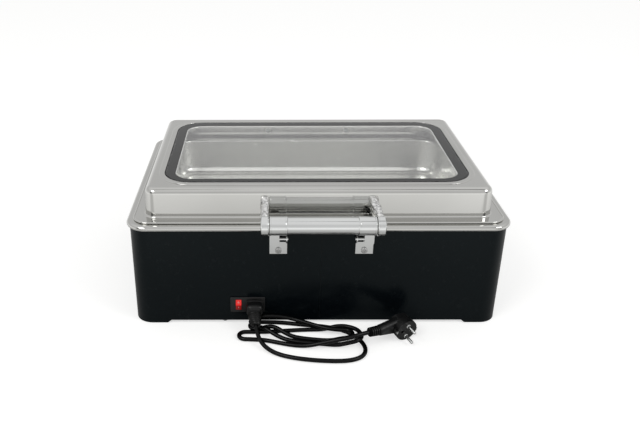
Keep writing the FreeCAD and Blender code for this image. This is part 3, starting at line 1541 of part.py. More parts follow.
plug = node("plug_body")
pad(plug, "XY", "-12", "0", disc("plug_radius"))
soften(plug, "1", level("0"))
pad(plug, "XY", "-26", "-11", rounded("30", "31", "11"))
loft(
    plug,
    "Additive",
    "YZ",
    ("4", rounded("29", "14", "5", "0", "-18.5")),
    (str(RELIEF_X), rounded("2 * plug_grip", "2 * plug_grip", "plug_grip - 0.4", "0", str(-CORD_DEEP))),
)
PLUG_PINS = [("0", "-blade_half"), ("0", "blade_half")]
pocket(plug, "XY", "-9", "1", *discs("blade_radius + run_play", PLUG_PINS), disc("2.6", "8.5", "0"))
for side in (-1, 1):
    inner, outer = f"{side} * (plug_radius - 1.4)", f"{side} * (plug_radius + 1)"
    low, high = (inner, outer) if side > 0 else (outer, inner)
    pocket(plug, "XY", "-8.3", "1", block(low, high, "-3", "3"))
plug_pins = node("plug_pins")
pad(plug_pins, "XY", "-8.7", "blade_length", *discs("blade_radius", PLUG_PINS))
soften(plug_pins, "1.2", level("blade_length"))
clips = node("plug_earth_clips")
for side in (-1, 1):
    inner, outer = f"{side} * (plug_radius - 1.1)", f"{side} * (plug_radius + 0.1)"
    low, high = (inner, outer) if side > 0 else (outer, inner)
    pad(clips, "XY", "-8", "0.4", block(low, high, "-2.7", "2.7"))
plug_relief = node("plug_relief")
loft(
    plug_relief,
    "Additive",
    "YZ",
    (str(RELIEF_X), disc("plug_grip - 0.3", "0", str(-CORD_DEEP))),
    (str(CORD_X), disc("plug_grip - 1.1", "0", str(-CORD_DEEP))),
)
for body in (plug, plug_pins, clips, plug_relief):
    body.Placement = plug_place()

doc.recompute()
faults = [o.Name for o in doc.Objects if "Invalid" in o.State or "Error" in o.State]
if faults:
    raise RuntimeError(f"failed features: {faults}")
for item in nodes:
    if item.Shape.isNull() or not item.Shape.isValid():
        raise RuntimeError(f"bad shape: {item.Label}")
os.makedirs("parts", exist_ok=True)
for item in nodes:
    item.Shape.exportStep(f"parts/{item.Label}.step")
    print(f"{item.Label}: {len(item.Shape.Solids)} solids, {item.Shape.Volume / 1000:.2f} cm3")
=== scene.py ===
"""Looks of the electric chafing dish: finishes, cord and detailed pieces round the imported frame."""

import json
import math

import bpy
import numpy as np
from mathutils import Matrix, Vector


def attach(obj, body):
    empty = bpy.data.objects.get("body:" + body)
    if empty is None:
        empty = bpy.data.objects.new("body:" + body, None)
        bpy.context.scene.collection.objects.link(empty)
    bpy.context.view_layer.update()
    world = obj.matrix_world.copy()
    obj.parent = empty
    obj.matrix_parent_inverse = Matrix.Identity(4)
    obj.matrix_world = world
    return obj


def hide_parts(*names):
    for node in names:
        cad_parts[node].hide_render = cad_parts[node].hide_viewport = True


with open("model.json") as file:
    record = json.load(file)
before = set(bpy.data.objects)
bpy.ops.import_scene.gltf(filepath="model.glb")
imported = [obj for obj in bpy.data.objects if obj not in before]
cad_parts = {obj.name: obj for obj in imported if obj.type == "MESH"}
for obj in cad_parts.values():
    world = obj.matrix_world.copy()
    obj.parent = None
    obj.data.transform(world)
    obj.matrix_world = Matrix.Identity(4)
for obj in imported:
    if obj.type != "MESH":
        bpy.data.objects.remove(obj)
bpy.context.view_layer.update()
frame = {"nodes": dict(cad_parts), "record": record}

MM = 0.001
NODES = frame["nodes"]

# Camera, as the photograph's view fixes it
IMAGE_WIDTH = 640
FOCAL_PIXELS = 731.91
CENTRE_PIXEL = 261.76
SENSOR = 36.0
CAMERA_AT = Vector((-84.75, -1208.58, 688.31)) * MM
CAMERA_PITCH = math.radians(25.79)
CAMERA_YAW = math.radians(-0.24)
CAMERA_ROLL = math.radians(-0.19)


def make_camera():
    """Camera whose axes come from its pitch, yaw and roll."""
    forward = Vector(
        (
            math.sin(CAMERA_YAW) * math.cos(CAMERA_PITCH),
            math.cos(CAMERA_YAW) * math.cos(CAMERA_PITCH),
            -math.sin(CAMERA_PITCH),
        )
    )
    level = forward.cross(Vector((0, 0, 1))).normalized()
    upright = level.cross(forward)
    right = level * math.cos(CAMERA_ROLL) + upright * math.sin(CAMERA_ROLL)
    up = upright * math.cos(CAMERA_ROLL) - level * math.sin(CAMERA_ROLL)
    data = bpy.data.cameras.new("camera")
    data.sensor_width = SENSOR
    data.lens = FOCAL_PIXELS / IMAGE_WIDTH * SENSOR
    data.shift_x = (IMAGE_WIDTH / 2 - CENTRE_PIXEL) / IMAGE_WIDTH
    data.clip_start = 0.05
    camera = bpy.data.objects.new("camera", data)
    turn = Matrix((right, up, -forward)).transposed().to_4x4()
    camera.matrix_world = Matrix.Translation(CAMERA_AT) @ turn
    bpy.context.scene.collection.objects.link(camera)
    bpy.context.scene.camera = camera


# Meshes worked out on grids, and the middle of the hinge, whose axis runs along X
CORNER_STEPS = 12
STRAIGHT_SHARES = (0.01, 0.1, 0.3, 0.5, 0.7, 0.9, 0.99)
GUARD = 0.35
WIDE_GAP = GUARD / 0.2
LEAST_RADIUS = 0.2
SHARP_FOLD = math.radians(38)
TURNED_STEPS = 72
SLEEVE_STEPS = 48
HINGE_X = 4.0
HINGE_Y = -215.3
HINGE_Z = 187.25


def round_rings(half_x, half_y, radius):
    """Rounded rectangles, one per entry of the arrays.

    Each is four quarter circles about (+-(half_x - radius), +-(half_y - radius)), and on the
    straight from one quarter to the next the points lie at fixed shares of its length.
    """
    half_x, half_y, radius = (v[:, None, None] for v in (half_x, half_y, radius))
    turn = np.arange(4)[:, None] * np.pi / 2 + np.linspace(0, np.pi / 2, CORNER_STEPS + 1)
    side_x = np.array((1, -1, -1, 1))[:, None]
    side_y = np.array((1, 1, -1, -1))[:, None]
    x = side_x * (half_x - radius) + radius * np.cos(turn)
    y = side_y * (half_y - radius) + radius * np.sin(turn)
    arcs = np.stack((x, y), axis=-1)
    ends = arcs[:, :, -1:]
    starts = np.roll(arcs[:, :, :1], -1, axis=1)
    straights = ends + (starts - ends) * np.array(STRAIGHT_SHARES)[:, None]
    return np.concatenate((arcs, straights), axis=2).reshape(len(arcs), -1, 2)


def guarded(rows, closed):
    """Rows with one more near each end of a wide gap, so that shading stays even across it."""
    rows = [np.asarray(row, float) for row in rows]
    after = rows[1:] + (rows[:1] if closed else [])
    out = []
    for here, there in zip(rows, after):
        out.append(here)
        gap = np.abs(there - here).max()
        if gap > WIDE_GAP:
            toward = (there - here) * (GUARD / gap)
            out += [here + toward, there - toward]
    return np.array(out if closed else out + rows[-1:])


def skin(grid, closed):
    """Points and faces of a grid whose columns wrap, facing outwards.

    A closed one wraps its rows too, and an open one gets a lid over its first and last row.
    Its way round follows the volume it encloses: the sum over its quads of
    p0 . (p1 x p2) + p0 . (p2 x p3).
    """
    rows, columns = grid.shape[:2]
    points = grid.reshape(-1, 3)
    i, j = np.meshgrid(np.arange(rows if closed else rows - 1), np.arange(columns), indexing="ij")
    i, j = i.ravel(), j.ravel()
    after_i, after_j = (i + 1) % rows, (j + 1) % columns
    quads = np.stack(
        (i * columns + j, i * columns + after_j, after_i * columns + after_j, after_i * columns + j),
        axis=1,
    )
    p0, p1, p2, p3 = (points[quads[:, k]] - points.mean(axis=0) for k in range(4))
    outward = np.sum(p0 * (np.cross(p1, p2) + np.cross(p2, p3))) > 0
    faces = (quads if outward else quads[:, ::-1]).tolist()
    if not closed:
        way = 1 if outward else -1
        first = np.arange(columns)
        last = first + (rows - 1) * columns
        faces += [first[::-way].tolist(), last[::way].tolist()]
    return points, faces


def joined(*parts):
    """Several skins as one."""
    faces = []
    count = 0
    for points, shapes in parts:
        faces += [[index + count for index in face] for face in shapes]
        count += len(points)
    return np.concatenate([points for points, _ in parts]), faces


def mesh_piece(name, shape, body, slot, replaces=()):
    """Mesh object from a skin in millimetres, riding on a body."""
    points, faces = shape
    mesh = bpy.data.meshes.new(name)
    mesh.from_pydata((points * MM).tolist(), [], faces)
    mesh.polygons.foreach_set("use_smooth", np.ones(len(faces), bool))
    mesh.set_sharp_from_angle(angle=SHARP_FOLD)
    mesh.materials.append(MATERIALS[slot])
    mesh.update()
    piece = bpy.data.objects.new(name, mesh)
    bpy.context.scene.collection.objects.link(piece)
    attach(piece, body)
    if replaces:
        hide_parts(*replaces)
    return piece


def arc(across, height, radius, start, end, steps=5):
    """Pairs (across + radius cos t, height + radius sin t) for t from start to end in degrees."""
    turn = np.radians(np.linspace(start, end, steps + 1))
    return list(zip(across + radius * np.cos(turn), height + radius * np.sin(turn)))


def pressed(rows, closed=True):
    """Sheet metal form from rows (half width, half depth, corner radius, height)."""
    half_x, half_y, radius, height = guarded(rows, closed).T
    plan = round_rings(half_x, half_y, np.maximum(radius, LEAST_RADIUS))
    heights = np.broadcast_to(height[:, None, None], plan.shape[:2] + (1,))
    return skin(np.concatenate((plan, heights), axis=2), closed)


def around(half_x, half_y, radius):
    """Function that moves a rounded rectangle out by a distance and sets it at a height."""

    def row(out, height):
        return half_x + out, half_y + out, radius + out, height

    return row


def turned(profile, closed=False):
    """Ring or rod about the hinge's axis: (x, y + r cos t, z + r sin t) for (x, r) in a profile."""
    x, radius = guarded(profile, closed).T
    turn = np.linspace(0, 2 * np.pi, TURNED_STEPS, endpoint=False)
    along = np.broadcast_to(x[:, None], (len(x), TURNED_STEPS))
    y = HINGE_Y + radius[:, None] * np.cos(turn)
    z = HINGE_Z + radius[:, None] * np.sin(turn)
    return skin(np.stack((along, y, z), axis=-1), closed)


def sleeve(path, radii, wide=1.0):
    """Rod along a path: ellipses square to its direction, of the given radii and that much wider."""
    path = np.asarray(path, float)
    along = np.gradient(path, axis=0)
    along /= np.linalg.norm(along, axis=1)[:, None]
    side = np.cross(along, (0.0, 0.0, 1.0))
    side /= np.linalg.norm(side, axis=1)[:, None]
    up = np.cross(side, along)
    turn = np.linspace(0, 2 * np.pi, SLEEVE_STEPS, endpoint=False)[:, None]
    radii = np.asarray(radii, float)[:, None, None]
    ring = side[:, None] * (wide * np.cos(turn)) + up[:, None] * np.sin(turn)
    return skin(path[:, None] + ring * radii, False)


# Materials: noise patterns on Object coordinates, stretched by these amounts
DRAWN_OUT = (0.03, 1.0, 1.0)
ROLLED_OUT = (0.25, 0.6, 1.0)
WIPED_OUT = (1.0, 2.2, 2.2)
SMUDGE_SCALE = 31.0
DUST_SCALE = 140.0
SMUDGE_ROUGH = (0.0, 0.05)
SMUDGE_FROM = (0.5, 0.75)
DUST_FROM = (0.58, 0.8)
MOTTLE_FROM = (0.35, 0.62)
LINE_SCALE = 1400.0
CLOUD_SCALE = 7.0
FINE_DEEP = 0.0002
LUMP_DEEP = 0.0022
PIT_DEEP = 0.0005
CAST_DRIFT = 0.3


def new_material(name):
    """Material with nodes, its nodes and links, and the shader in it."""
    material = bpy.data.materials.new(name)
    material.use_nodes = True
    nodes = material.node_tree.nodes
    return material, nodes, material.node_tree.links, nodes["Principled BSDF"]


def shade_group(name, inputs, outputs):
    """Empty shader group with named inputs (label, kind, default) and float outputs."""
    group = bpy.data.node_groups.new(name, "ShaderNodeTree")
    for label, kind, default in inputs:
        socket = group.interface.new_socket(label, in_out="INPUT", socket_type=kind)
        socket.default_value = default
    for label in outputs:
        group.interface.new_socket(label, in_out="OUTPUT", socket_type="NodeSocketFloat")
    enter = group.nodes.new("NodeGroupInput")
    leave = group.nodes.new("NodeGroupOutput")
    return group, group.nodes, group.links, enter.outputs, leave.inputs


def math_node(nodes, links, operation, *values):
    """Math node whose inputs are numbers or sockets."""
    node = nodes.new("ShaderNodeMath")
    node.operation = operation
    for socket, given in zip(node.inputs, values):
        if isinstance(given, (int, float)):
            socket.default_value = given
        else:
            links.new(given, socket)
    return node.outputs[0]


def spread(nodes, links, value, low, high, start=0.3, end=0.7):
    """Map a value from the span start to end onto low to high."""
    ranged = nodes.new("ShaderNodeMapRange")
    ranged.inputs["From Min"].default_value = start
    ranged.inputs["From Max"].default_value = end
    ranged.inputs["To Min"].default_value = low
    ranged.inputs["To Max"].default_value = high
    links.new(value, ranged.inputs["Value"])
    return ranged.outputs["Result"]


def noise(nodes, links, vector, scale, detail=2.0):
    """Noise texture on a vector; its scale is a number or a socket."""
    texture = nodes.new("ShaderNodeTexNoise")
    texture.inputs["Detail"].default_value = detail
    links.new(vector, texture.inputs["Vector"])
    if isinstance(scale, (int, float)):
        texture.inputs["Scale"].default_value = scale
    else:
        links.new(scale, texture.inputs["Scale"])
    return texture.outputs["Fac"]


def stretched(nodes, links, vector, amounts):
    """Vector multiplied by three amounts."""
    node = nodes.new("ShaderNodeVectorMath")
    node.operation = "MULTIPLY"
    links.new(vector, node.inputs[0])
    node.inputs[1].default_value = amounts
    return node.outputs[0]


def make_drawn_group():
    """Drawn sheet: fine lines along X, slow clouds, a soft waviness and wiped smudges."""
    group, nodes, links, enter, leave = shade_group(
        "drawn_sheet",
        (
            ("Vector", "NodeSocketVector", (0, 0, 0)),
            ("Fine", "NodeSocketFloat", 900.0),
            ("Cloud", "NodeSocketFloat", 9.0),
            ("Wave", "NodeSocketFloat", 14.0),
        ),
        ("Grain", "Clouds", "Waves", "Smudge"),
    )
    drawn = stretched(nodes, links, enter["Vector"], DRAWN_OUT)
    links.new(noise(nodes, links, drawn, enter["Fine"], 3.0), leave["Grain"])
    links.new(noise(nodes, links, enter["Vector"], enter["Cloud"]), leave["Clouds"])
    rolled = stretched(nodes, links, enter["Vector"], ROLLED_OUT)
    links.new(noise(nodes, links, rolled, enter["Wave"], 1.0), leave["Waves"])
    wiped = stretched(nodes, links, enter["Vector"], WIPED_OUT)
    links.new(noise(nodes, links, wiped, SMUDGE_SCALE, 5.0), leave["Smudge"])
    return group


def make_stipple_group():
    """Moulded or coated surface: a fine stipple, a slow drift and thin dust."""
    group, nodes, links, enter, leave = shade_group(
        "stipple",
        (
            ("Vector", "NodeSocketVector", (0, 0, 0)),
            ("Scale", "NodeSocketFloat", 1200.0),
            ("Drift", "NodeSocketFloat", 12.0),
        ),
        ("Stipple", "Drift", "Dust"),
    )
    links.new(noise(nodes, links, enter["Vector"], enter["Scale"]), leave["Stipple"])
    links.new(noise(nodes, links, enter["Vector"], enter["Drift"]), leave["Drift"])
    links.new(noise(nodes, links, enter["Vector"], DUST_SCALE, 6.0), leave["Dust"])
    return group


DRAWN = make_drawn_group()
STIPPLE = make_stipple_group()


def placed(group, nodes, links, **values):
    """Shader group in a material, on Object coordinates, with its own input values."""
    place = nodes.new("ShaderNodeTexCoord")
    node = nodes.new("ShaderNodeGroup")
    node.node_tree = group
    links.new(place.outputs["Object"], node.inputs["Vector"])
    for label, amount in values.items():
        node.inputs[label].default_value = amount
    return node.outputs


def blend_colours(nodes, links, factor, first, second):
    """Mix of two colours, each three numbers or a socket, by a factor."""
    mix = nodes.new("ShaderNodeMix")
    mix.data_type = "RGBA"
    for label, colour in (("A", first), ("B", second)):
        if isinstance(colour, tuple):
            mix.inputs[label].default_value = (*colour, 1)
        else:
            links.new(colour, mix.inputs[label])
    links.new(factor, mix.inputs["Factor"])
    return mix.outputs["Result"]


def bump(nodes, links, height, strength, distance, under=None):
    """Bump node's normal, laid over another one if it is given."""
    node = nodes.new("ShaderNodeBump")
    node.inputs["Strength"].default_value = strength
    node.inputs["Distance"].default_value = distance
    links.new(height, node.inputs["Height"])
    if under is not None:
        links.new(under, node.inputs["Normal"])
    return node.outputs["Normal"]


def steel(name, dark, light, rough, lines=0.02, wave=14.0, waviness=0.00012):
    """Drawn or plated steel: lines and smudges in its roughness, waviness and lines in its bump."""
    material, nodes, links, shader = new_material(name)
    sheet = placed(DRAWN, nodes, links, Fine=LINE_SCALE, Cloud=CLOUD_SCALE, Wave=wave)
    clouds = spread(nodes, links, sheet["Clouds"], 0.0, 1.0)
    links.new(blend_colours(nodes, links, clouds, dark, light), shader.inputs["Base Color"])
    fine_rough = spread(nodes, links, sheet["Grain"], *rough)
    smudge = spread(nodes, links, sheet["Smudge"], *SMUDGE_ROUGH, *SMUDGE_FROM)
    links.new(math_node(nodes, links, "ADD", fine_rough, smudge), shader.inputs["Roughness"])
    shader.inputs["Metallic"].default_value = 1.0
    wavy = bump(nodes, links, sheet["Waves"], 1.0, waviness)
    links.new(bump(nodes, links, sheet["Grain"], lines, FINE_DEEP, wavy), shader.inputs["Normal"])
    return material


def cast_metal(name, dark, light, rough, pits, scale):
    """Cast or rough metal: mottled colour and a lumpy, pitted bump."""
    material, nodes, links, shader = new_material(name)
    marks = placed(STIPPLE, nodes, links, Scale=scale, Drift=scale * CAST_DRIFT)
    mottle = spread(nodes, links, marks["Drift"], 0.0, 1.0, *MOTTLE_FROM)
    links.new(blend_colours(nodes, links, mottle, dark, light), shader.inputs["Base Color"])
    links.new(spread(nodes, links, marks["Stipple"], *rough), shader.inputs["Roughness"])
    shader.inputs["Metallic"].default_value = 1.0
    lumps = bump(nodes, links, marks["Drift"], pits, LUMP_DEEP)
    links.new(bump(nodes, links, marks["Stipple"], pits, PIT_DEEP, lumps), shader.inputs["Normal"])
    return material


def coat(
    name, dark, light, rough, scale, strength, shine, drift=12.0, dust=(0.0, 0.0, 0.0), coat_tint=None
):
    """Painted, moulded or rubber surface with a fine stipple, slow drift and thin dust."""
    material, nodes, links, shader = new_material(name)
    marks = placed(STIPPLE, nodes, links, Scale=scale, Drift=drift)
    slow = spread(nodes, links, marks["Drift"], 0.0, 1.0)
    dusty = spread(nodes, links, marks["Dust"], 0.0, 1.0, *DUST_FROM)
    plain = blend_colours(nodes, links, slow, dark, light)
    links.new(blend_colours(nodes, links, dusty, plain, dust), shader.inputs["Base Color"])
    links.new(spread(nodes, links, marks["Stipple"], *rough), shader.inputs["Roughness"])
    shader.inputs["Specular IOR Level"].default_value = shine
    if coat_tint:
        shader.inputs["Specular Tint"].default_value = (*coat_tint, 1)
    links.new(bump(nodes, links, marks["Stipple"], strength, FINE_DEEP), shader.inputs["Normal"])
    return material


GLASS_TINT = (0.985, 0.992, 0.986, 1)
GLASS_SHADOW = (0.92, 0.94, 0.93, 1)
GLASS_SMEARS = (0.0, 0.012)
SMEAR_SCALE = 60.0
GLASS_IOR = 1.5


def make_glass():
    """Clear pane that lets lamp rays through, with faint smears in its roughness."""
    material, nodes, links, shader = new_material("clear_glass")
    marks = placed(STIPPLE, nodes, links, Scale=SMEAR_SCALE)
    links.new(spread(nodes, links, marks["Stipple"], *GLASS_SMEARS), shader.inputs["Roughness"])
    shader.inputs["Base Color"].default_value = GLASS_TINT
    shader.inputs["Transmission Weight"].default_value = 1.0
    shader.inputs["IOR"].default_value = GLASS_IOR
    clear = nodes.new("ShaderNodeBsdfTransparent")
    clear.inputs["Color"].default_value = GLASS_SHADOW
    path = nodes.new("ShaderNodeLightPath")
    mix = nodes.new("ShaderNodeMixShader")
    links.new(path.outputs["Is Shadow Ray"], mix.inputs["Fac"])
    links.new(shader.outputs[0], mix.inputs[1])
    links.new(clear.outputs[0], mix.inputs[2])
    links.new(mix.outputs[0], nodes["Material Output"].inputs["Surface"])
    return material


# Switch cap: painted glow from emission, strong above the split height and faint below it
ROCKER_SPLIT = 0.0362
SPLIT_SOFT = 0.0008
PAINTED_GLOW_STRENGTH = 0.55
CAP_DARK = (0.30, 0.006, 0.005)
CAP_LIGHT = (0.38, 0.010, 0.008)
CAP_ROUGH = (0.2, 0.28)
CAP_STIPPLE = 0.03
PAINTED_GLOW_BELOW = (0.04, 0.0, 0.0)
PAINTED_GLOW_ABOVE = (0.85, 0.012, 0.008)


def make_red_with_painted_glow():
    """Translucent red switch cap with a painted glow: emission lights its upper half brightly and its lower
    half faintly.
    """
    material, nodes, links, shader = new_material("red_plastic")
    marks = placed(STIPPLE, nodes, links, Scale=900.0, Drift=120.0)
    slow = spread(nodes, links, marks["Drift"], 0.0, 1.0)
    red = blend_colours(nodes, links, slow, CAP_DARK, CAP_LIGHT)
    links.new(red, shader.inputs["Base Color"])
    links.new(spread(nodes, links, marks["Stipple"], *CAP_ROUGH), shader.inputs["Roughness"])
    place = nodes.new("ShaderNodeTexCoord")
    split = nodes.new("ShaderNodeSeparateXYZ")
    links.new(place.outputs["Object"], split.inputs[0])
    # Painted glow and highlight: emission, strong on the upper half and faint on the lower
    upper = spread(
        nodes, links, split.outputs["Z"], 0.0, 1.0, ROCKER_SPLIT - SPLIT_SOFT, ROCKER_SPLIT + SPLIT_SOFT
    )
    glow = blend_colours(nodes, links, upper, PAINTED_GLOW_BELOW, PAINTED_GLOW_ABOVE)
    links.new(glow, shader.inputs["Emission Color"])
    shader.inputs["Emission Strength"].default_value = PAINTED_GLOW_STRENGTH
    links.new(bump(nodes, links, marks["Stipple"], CAP_STIPPLE, FINE_DEEP), shader.inputs["Normal"])
    return material


# Finishes: each slot's name, the function that makes it and what it takes
FINISHES = (
    (
        "black_coat",
        coat,
        {
            "dark": (0.0012, 0.0024, 0.0036),
            "light": (0.0022, 0.0036, 0.0048),
            "rough": (0.20, 0.26),
            "scale": 1500,
            "strength": 0.05,
            "shine": 0.18,
            "drift": 6.0,
            "dust": (0.006, 0.008, 0.009),
            "coat_tint": (0.86, 1.0, 1.0),
        },
    ),
    (
        "polished_steel",
        steel,
        {
            "dark": (0.60, 0.597, 0.577),
            "light": (0.65, 0.647, 0.627),
            "rough": (0.045, 0.075),
            "wave": 11.0,
            "waviness": 0.00013,
        },
    ),
    (
        "satin_steel",
        steel,
        {
            "dark": (0.66, 0.657, 0.632),
            "light": (0.71, 0.707, 0.682),
            "rough": (0.19, 0.25),
            "lines": 0.012,
            "wave": 9.0,
            "waviness": 0.0001,
        },
    ),
    (
        "plated_steel",
        steel,
        {
            "dark": (0.74, 0.75, 0.745),
            "light": (0.80, 0.81, 0.805),
            "rough": (0.05, 0.08),
            "lines": 0.015,
            "wave": 40.0,
            "waviness": 0.00003,
        },
    ),
    (
        "zinc_steel",
        cast_metal,
        {
            "dark": (0.36, 0.37, 0.38),
            "light": (0.46, 0.47, 0.48),
            "rough": (0.28, 0.42),
            "pits": 0.08,
            "scale": 500,
        },
    ),
    (
        "cast_alloy",
        cast_metal,
        {
            "dark": (0.46, 0.46, 0.455),
            "light": (0.94, 0.94, 0.93),
            "rough": (0.16, 0.36),
            "pits": 0.6,
            "scale": 700,
        },
    ),
    (
        "plate_alloy",
        steel,
        {"dark": (0.50, 0.50, 0.51), "light": (0.58, 0.58, 0.59), "rough": (0.3, 0.42), "lines": 0.1},
    ),
    (
        "element_steel",
        cast_metal,
        {
            "dark": (0.07, 0.075, 0.07),
            "light": (0.15, 0.13, 0.11),
            "rough": (0.45, 0.6),
            "pits": 0.15,
            "scale": 900,
        },
    ),
    (
        "brass_plate",
        steel,
        {"dark": (0.50, 0.44, 0.28), "light": (0.60, 0.55, 0.38), "rough": (0.2, 0.3), "lines": 0.05},
    ),
    (
        "black_rubber",
        coat,
        {
            "dark": (0.004, 0.004, 0.004),
            "light": (0.007, 0.007, 0.0068),
            "rough": (0.28, 0.38),
            "scale": 1800,
            "strength": 0.12,
            "shine": 0.25,
        },
    ),
    (
        "black_plastic",
        coat,
        {
            "dark": (0.004, 0.0042, 0.0045),
            "light": (0.007, 0.0072, 0.0075),
            "rough": (0.28, 0.36),
            "scale": 2200,
            "strength": 0.15,
            "shine": 0.32,
        },
    ),
    (
        "brown_resin",
        coat,
        {
            "dark": (0.06, 0.03, 0.016),
            "light": (0.10, 0.05, 0.026),
            "rough": (0.35, 0.5),
            "scale": 1500,
            "strength": 0.15,
            "shine": 0.5,
        },
    ),
    (
        "cord_rubber",
        coat,
        {
            "dark": (0.0014, 0.0014, 0.0016),
            "light": (0.003, 0.003, 0.0033),
            "rough": (0.2, 0.28),
            "scale": 2600,
            "strength": 0.08,
            "shine": 0.2,
        },
    ),
    (
        "bush_plastic",
        coat,
        {
            "dark": (0.62, 0.61, 0.56),
            "light": (0.70, 0.69, 0.64),
            "rough": (0.4, 0.5),
            "scale": 1500,
            "strength": 0.1,
            "shine": 0.5,
        },
    ),
)
MATERIALS = {name: make(name, **values) for name, make, values in FINISHES}
MATERIALS["clear_glass"] = make_glass()
MATERIALS["red_plastic"] = make_red_with_painted_glow()

# Shades of their slot's finish that three pieces of the frame have for themselves
OWN_FINISHES = {
    "seam_strip": coat(
        "strip_paint",
        dark=(0.014, 0.015, 0.016),
        light=(0.020, 0.021, 0.022),
        rough=(0.4, 0.5),
        scale=1500,
        strength=0.05,
        shine=0.4,
    ),
    # Bracket screws: a darker copy of plated steel, painted shade standing in for the dark reflections round
    # their heads
    "bracket_screws": steel(
        "screw_steel_painted_dark", dark=(0.44, 0.44, 0.435), light=(0.54, 0.54, 0.535), rough=(0.1, 0.18)
    ),
    "inlet_housing": coat(
        "inlet_plastic",
        dark=(0.010, 0.0098, 0.010),
        light=(0.015, 0.0146, 0.015),
        rough=(0.34, 0.42),
        scale=2200,
        strength=0.1,
        shine=0.5,
    ),
}


def dress_frame():
    """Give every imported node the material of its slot, or its own shade of it."""
    for row in frame["record"]["subparts"]:
        piece = NODES[row["node"]]
        piece.data.materials.clear()
        piece.data.materials.append(MATERIALS[row["material_slot"]])
    for name, finish in OWN_FINISHES.items():
        NODES[name].data.materials[0] = finish


# Lid shell: hem, flange, tapered wall, border, recess and window fold
FLANGE_Z = 180.4
LID_SHEET = 0.9
LID_TOP = 229.2
BORDER_TOP = 230.1
BED_Z = 225.4
GLASS_TOP = 229.9
LID_TAPER = math.tan(math.radians(2.6))
HEM_ROUND = 1.5
FOOT_ROUND = 2.6
SHOULDER = 9.0
BORDER_OUT = 10.0
BORDER_ROUND = 0.8
BORDER_FOOT = ((1.4, 0.0), (0.8, 0.1))
RECESS_OUT = 1.8
RECESS_ROUND = 0.8
STEP_ROUND = 0.7
FOLD_IN = -16.4
FOLD_ROUND = 1.6
FOLD_DEEP = 4.0
pane = around(246.0, 145.0, 44.0)
hem_line = around(291.0, 191.0, 24.0)
lid_foot = around(274.5, 174.5, 19.0)


def lid_row(out, height):
    """Row on the lid's tapered wall, moved out by a distance."""
    return lid_foot(out - (height - FLANGE_Z) * LID_TAPER, height)


def make_lid_shell():
    """Profile round the pressed sheet: the outside from hem to window, then the inside back."""
    foot_z = FLANGE_Z + LID_SHEET + FOOT_ROUND
    shoulder_z = LID_TOP - SHOULDER
    recess = RECESS_OUT - RECESS_ROUND
    fold_inside = FOLD_IN - FOLD_ROUND
    fold_inner = FOLD_ROUND - LID_SHEET
    rows = [lid_row(-LID_SHEET, FLANGE_Z), hem_line(-HEM_ROUND, FLANGE_Z)]
    rows += [hem_line(*spot) for spot in arc(0.0, FLANGE_Z, HEM_ROUND, 195, 503, 14)]
    rows += [lid_row(*spot) for spot in arc(FOOT_ROUND, foot_z, FOOT_ROUND, 270, 180)]
    rows += [lid_row(*spot) for spot in arc(-SHOULDER, shoulder_z, SHOULDER, 0, 90, 8)]
    rows += [pane(BORDER_OUT + out, LID_TOP + rise) for out, rise in BORDER_FOOT]
    rows += [pane(*spot) for spot in arc(BORDER_OUT, BORDER_TOP - BORDER_ROUND, BORDER_ROUND, 0, 90, 4)]
    rows += [
        pane(*spot) for spot in arc(RECESS_OUT + STEP_ROUND, BORDER_TOP - STEP_ROUND, STEP_ROUND, 90, 180, 4)
    ]
    rows += [pane(*spot) for spot in arc(recess, BED_Z + RECESS_ROUND, RECESS_ROUND, 0, -90, 3)]
    rows += [pane(*spot) for spot in arc(FOLD_IN, BED_Z - FOLD_ROUND, FOLD_ROUND, 90, 180)]
    rows += [pane(fold_inside, BED_Z - FOLD_DEEP), pane(fold_inside + LID_SHEET, BED_Z - FOLD_DEEP)]
    rows += [pane(*spot) for spot in arc(FOLD_IN, BED_Z - FOLD_ROUND, fold_inner, 180, 90, 3)]
    rows += [
        pane(*spot) for spot in arc(recess, BED_Z + RECESS_ROUND, RECESS_ROUND + LID_SHEET, -90, 0, 4)
    ]
    rows += [pane(RECESS_OUT + LID_SHEET, LID_TOP - LID_SHEET)]
    rows += [lid_row(*spot) for spot in arc(-SHOULDER, shoulder_z, SHOULDER - LID_SHEET, 90, 0, 8)]
    mesh_piece("lid_sheet", pressed(rows), "lid", "polished_steel", replaces=("lid_shell",))


GLASS_ROUND = 0.8
PANE_MIDDLE = -144.0
SEAL_THICK = 0.5
SEAL_OUT = 1.6
SEAL_IN = -16.0
SEAL_BESIDE = 0.1
SEAL_SUNK = 0.4
SEAL_BEVEL = (0.3, 0.2)


def make_pane():
    """Glass with round edges on its rubber seal, which lies under it and stands round it."""
    low = BED_Z + SEAL_THICK
    rows = [pane(PANE_MIDDLE, low)]
    rows += [pane(*spot) for spot in arc(-GLASS_ROUND, low + GLASS_ROUND, GLASS_ROUND, -90, 0, 4)]
    rows += [pane(*spot) for spot in arc(-GLASS_ROUND, GLASS_TOP - GLASS_ROUND, GLASS_ROUND, 0, 90, 4)]
    rows += [pane(PANE_MIDDLE, GLASS_TOP)]
    mesh_piece("lid_pane", pressed(rows, False), "lid", "clear_glass", replaces=("lid_glass",))
    across, down = SEAL_BEVEL
    top = GLASS_TOP - SEAL_SUNK
    seal = [pane(SEAL_OUT, BED_Z), pane(SEAL_IN, BED_Z), pane(SEAL_IN, low), pane(SEAL_BESIDE, low)]
    seal += [pane(SEAL_BESIDE, top - down), pane(SEAL_BESIDE + across, top)]
    seal += [pane(SEAL_OUT - across, top), pane(SEAL_OUT, top - down)]
    mesh_piece("pane_seal", pressed(seal), "lid", "black_rubber", replaces=("glass_seal",))


# Pans: the water pan's bead, rim, ledge and well, and the food pan hung in it
RIM_Z = 178.6
LEDGE_Z = 187.4
PAN_SHEET = 0.8
WELL_FLOOR = 75.6
WELL_ROUND = 10.0
WELL_MIDDLE = -153.0
BEAD = 4.6
BEAD_TURN = (97, -235)
PRESS_ROUND = 1.4
well = around(256.7, 154.2, 40.2)
step = around(267.5, 165.0, 29.5)
rim = around(298.3, 198.3, 29.0)


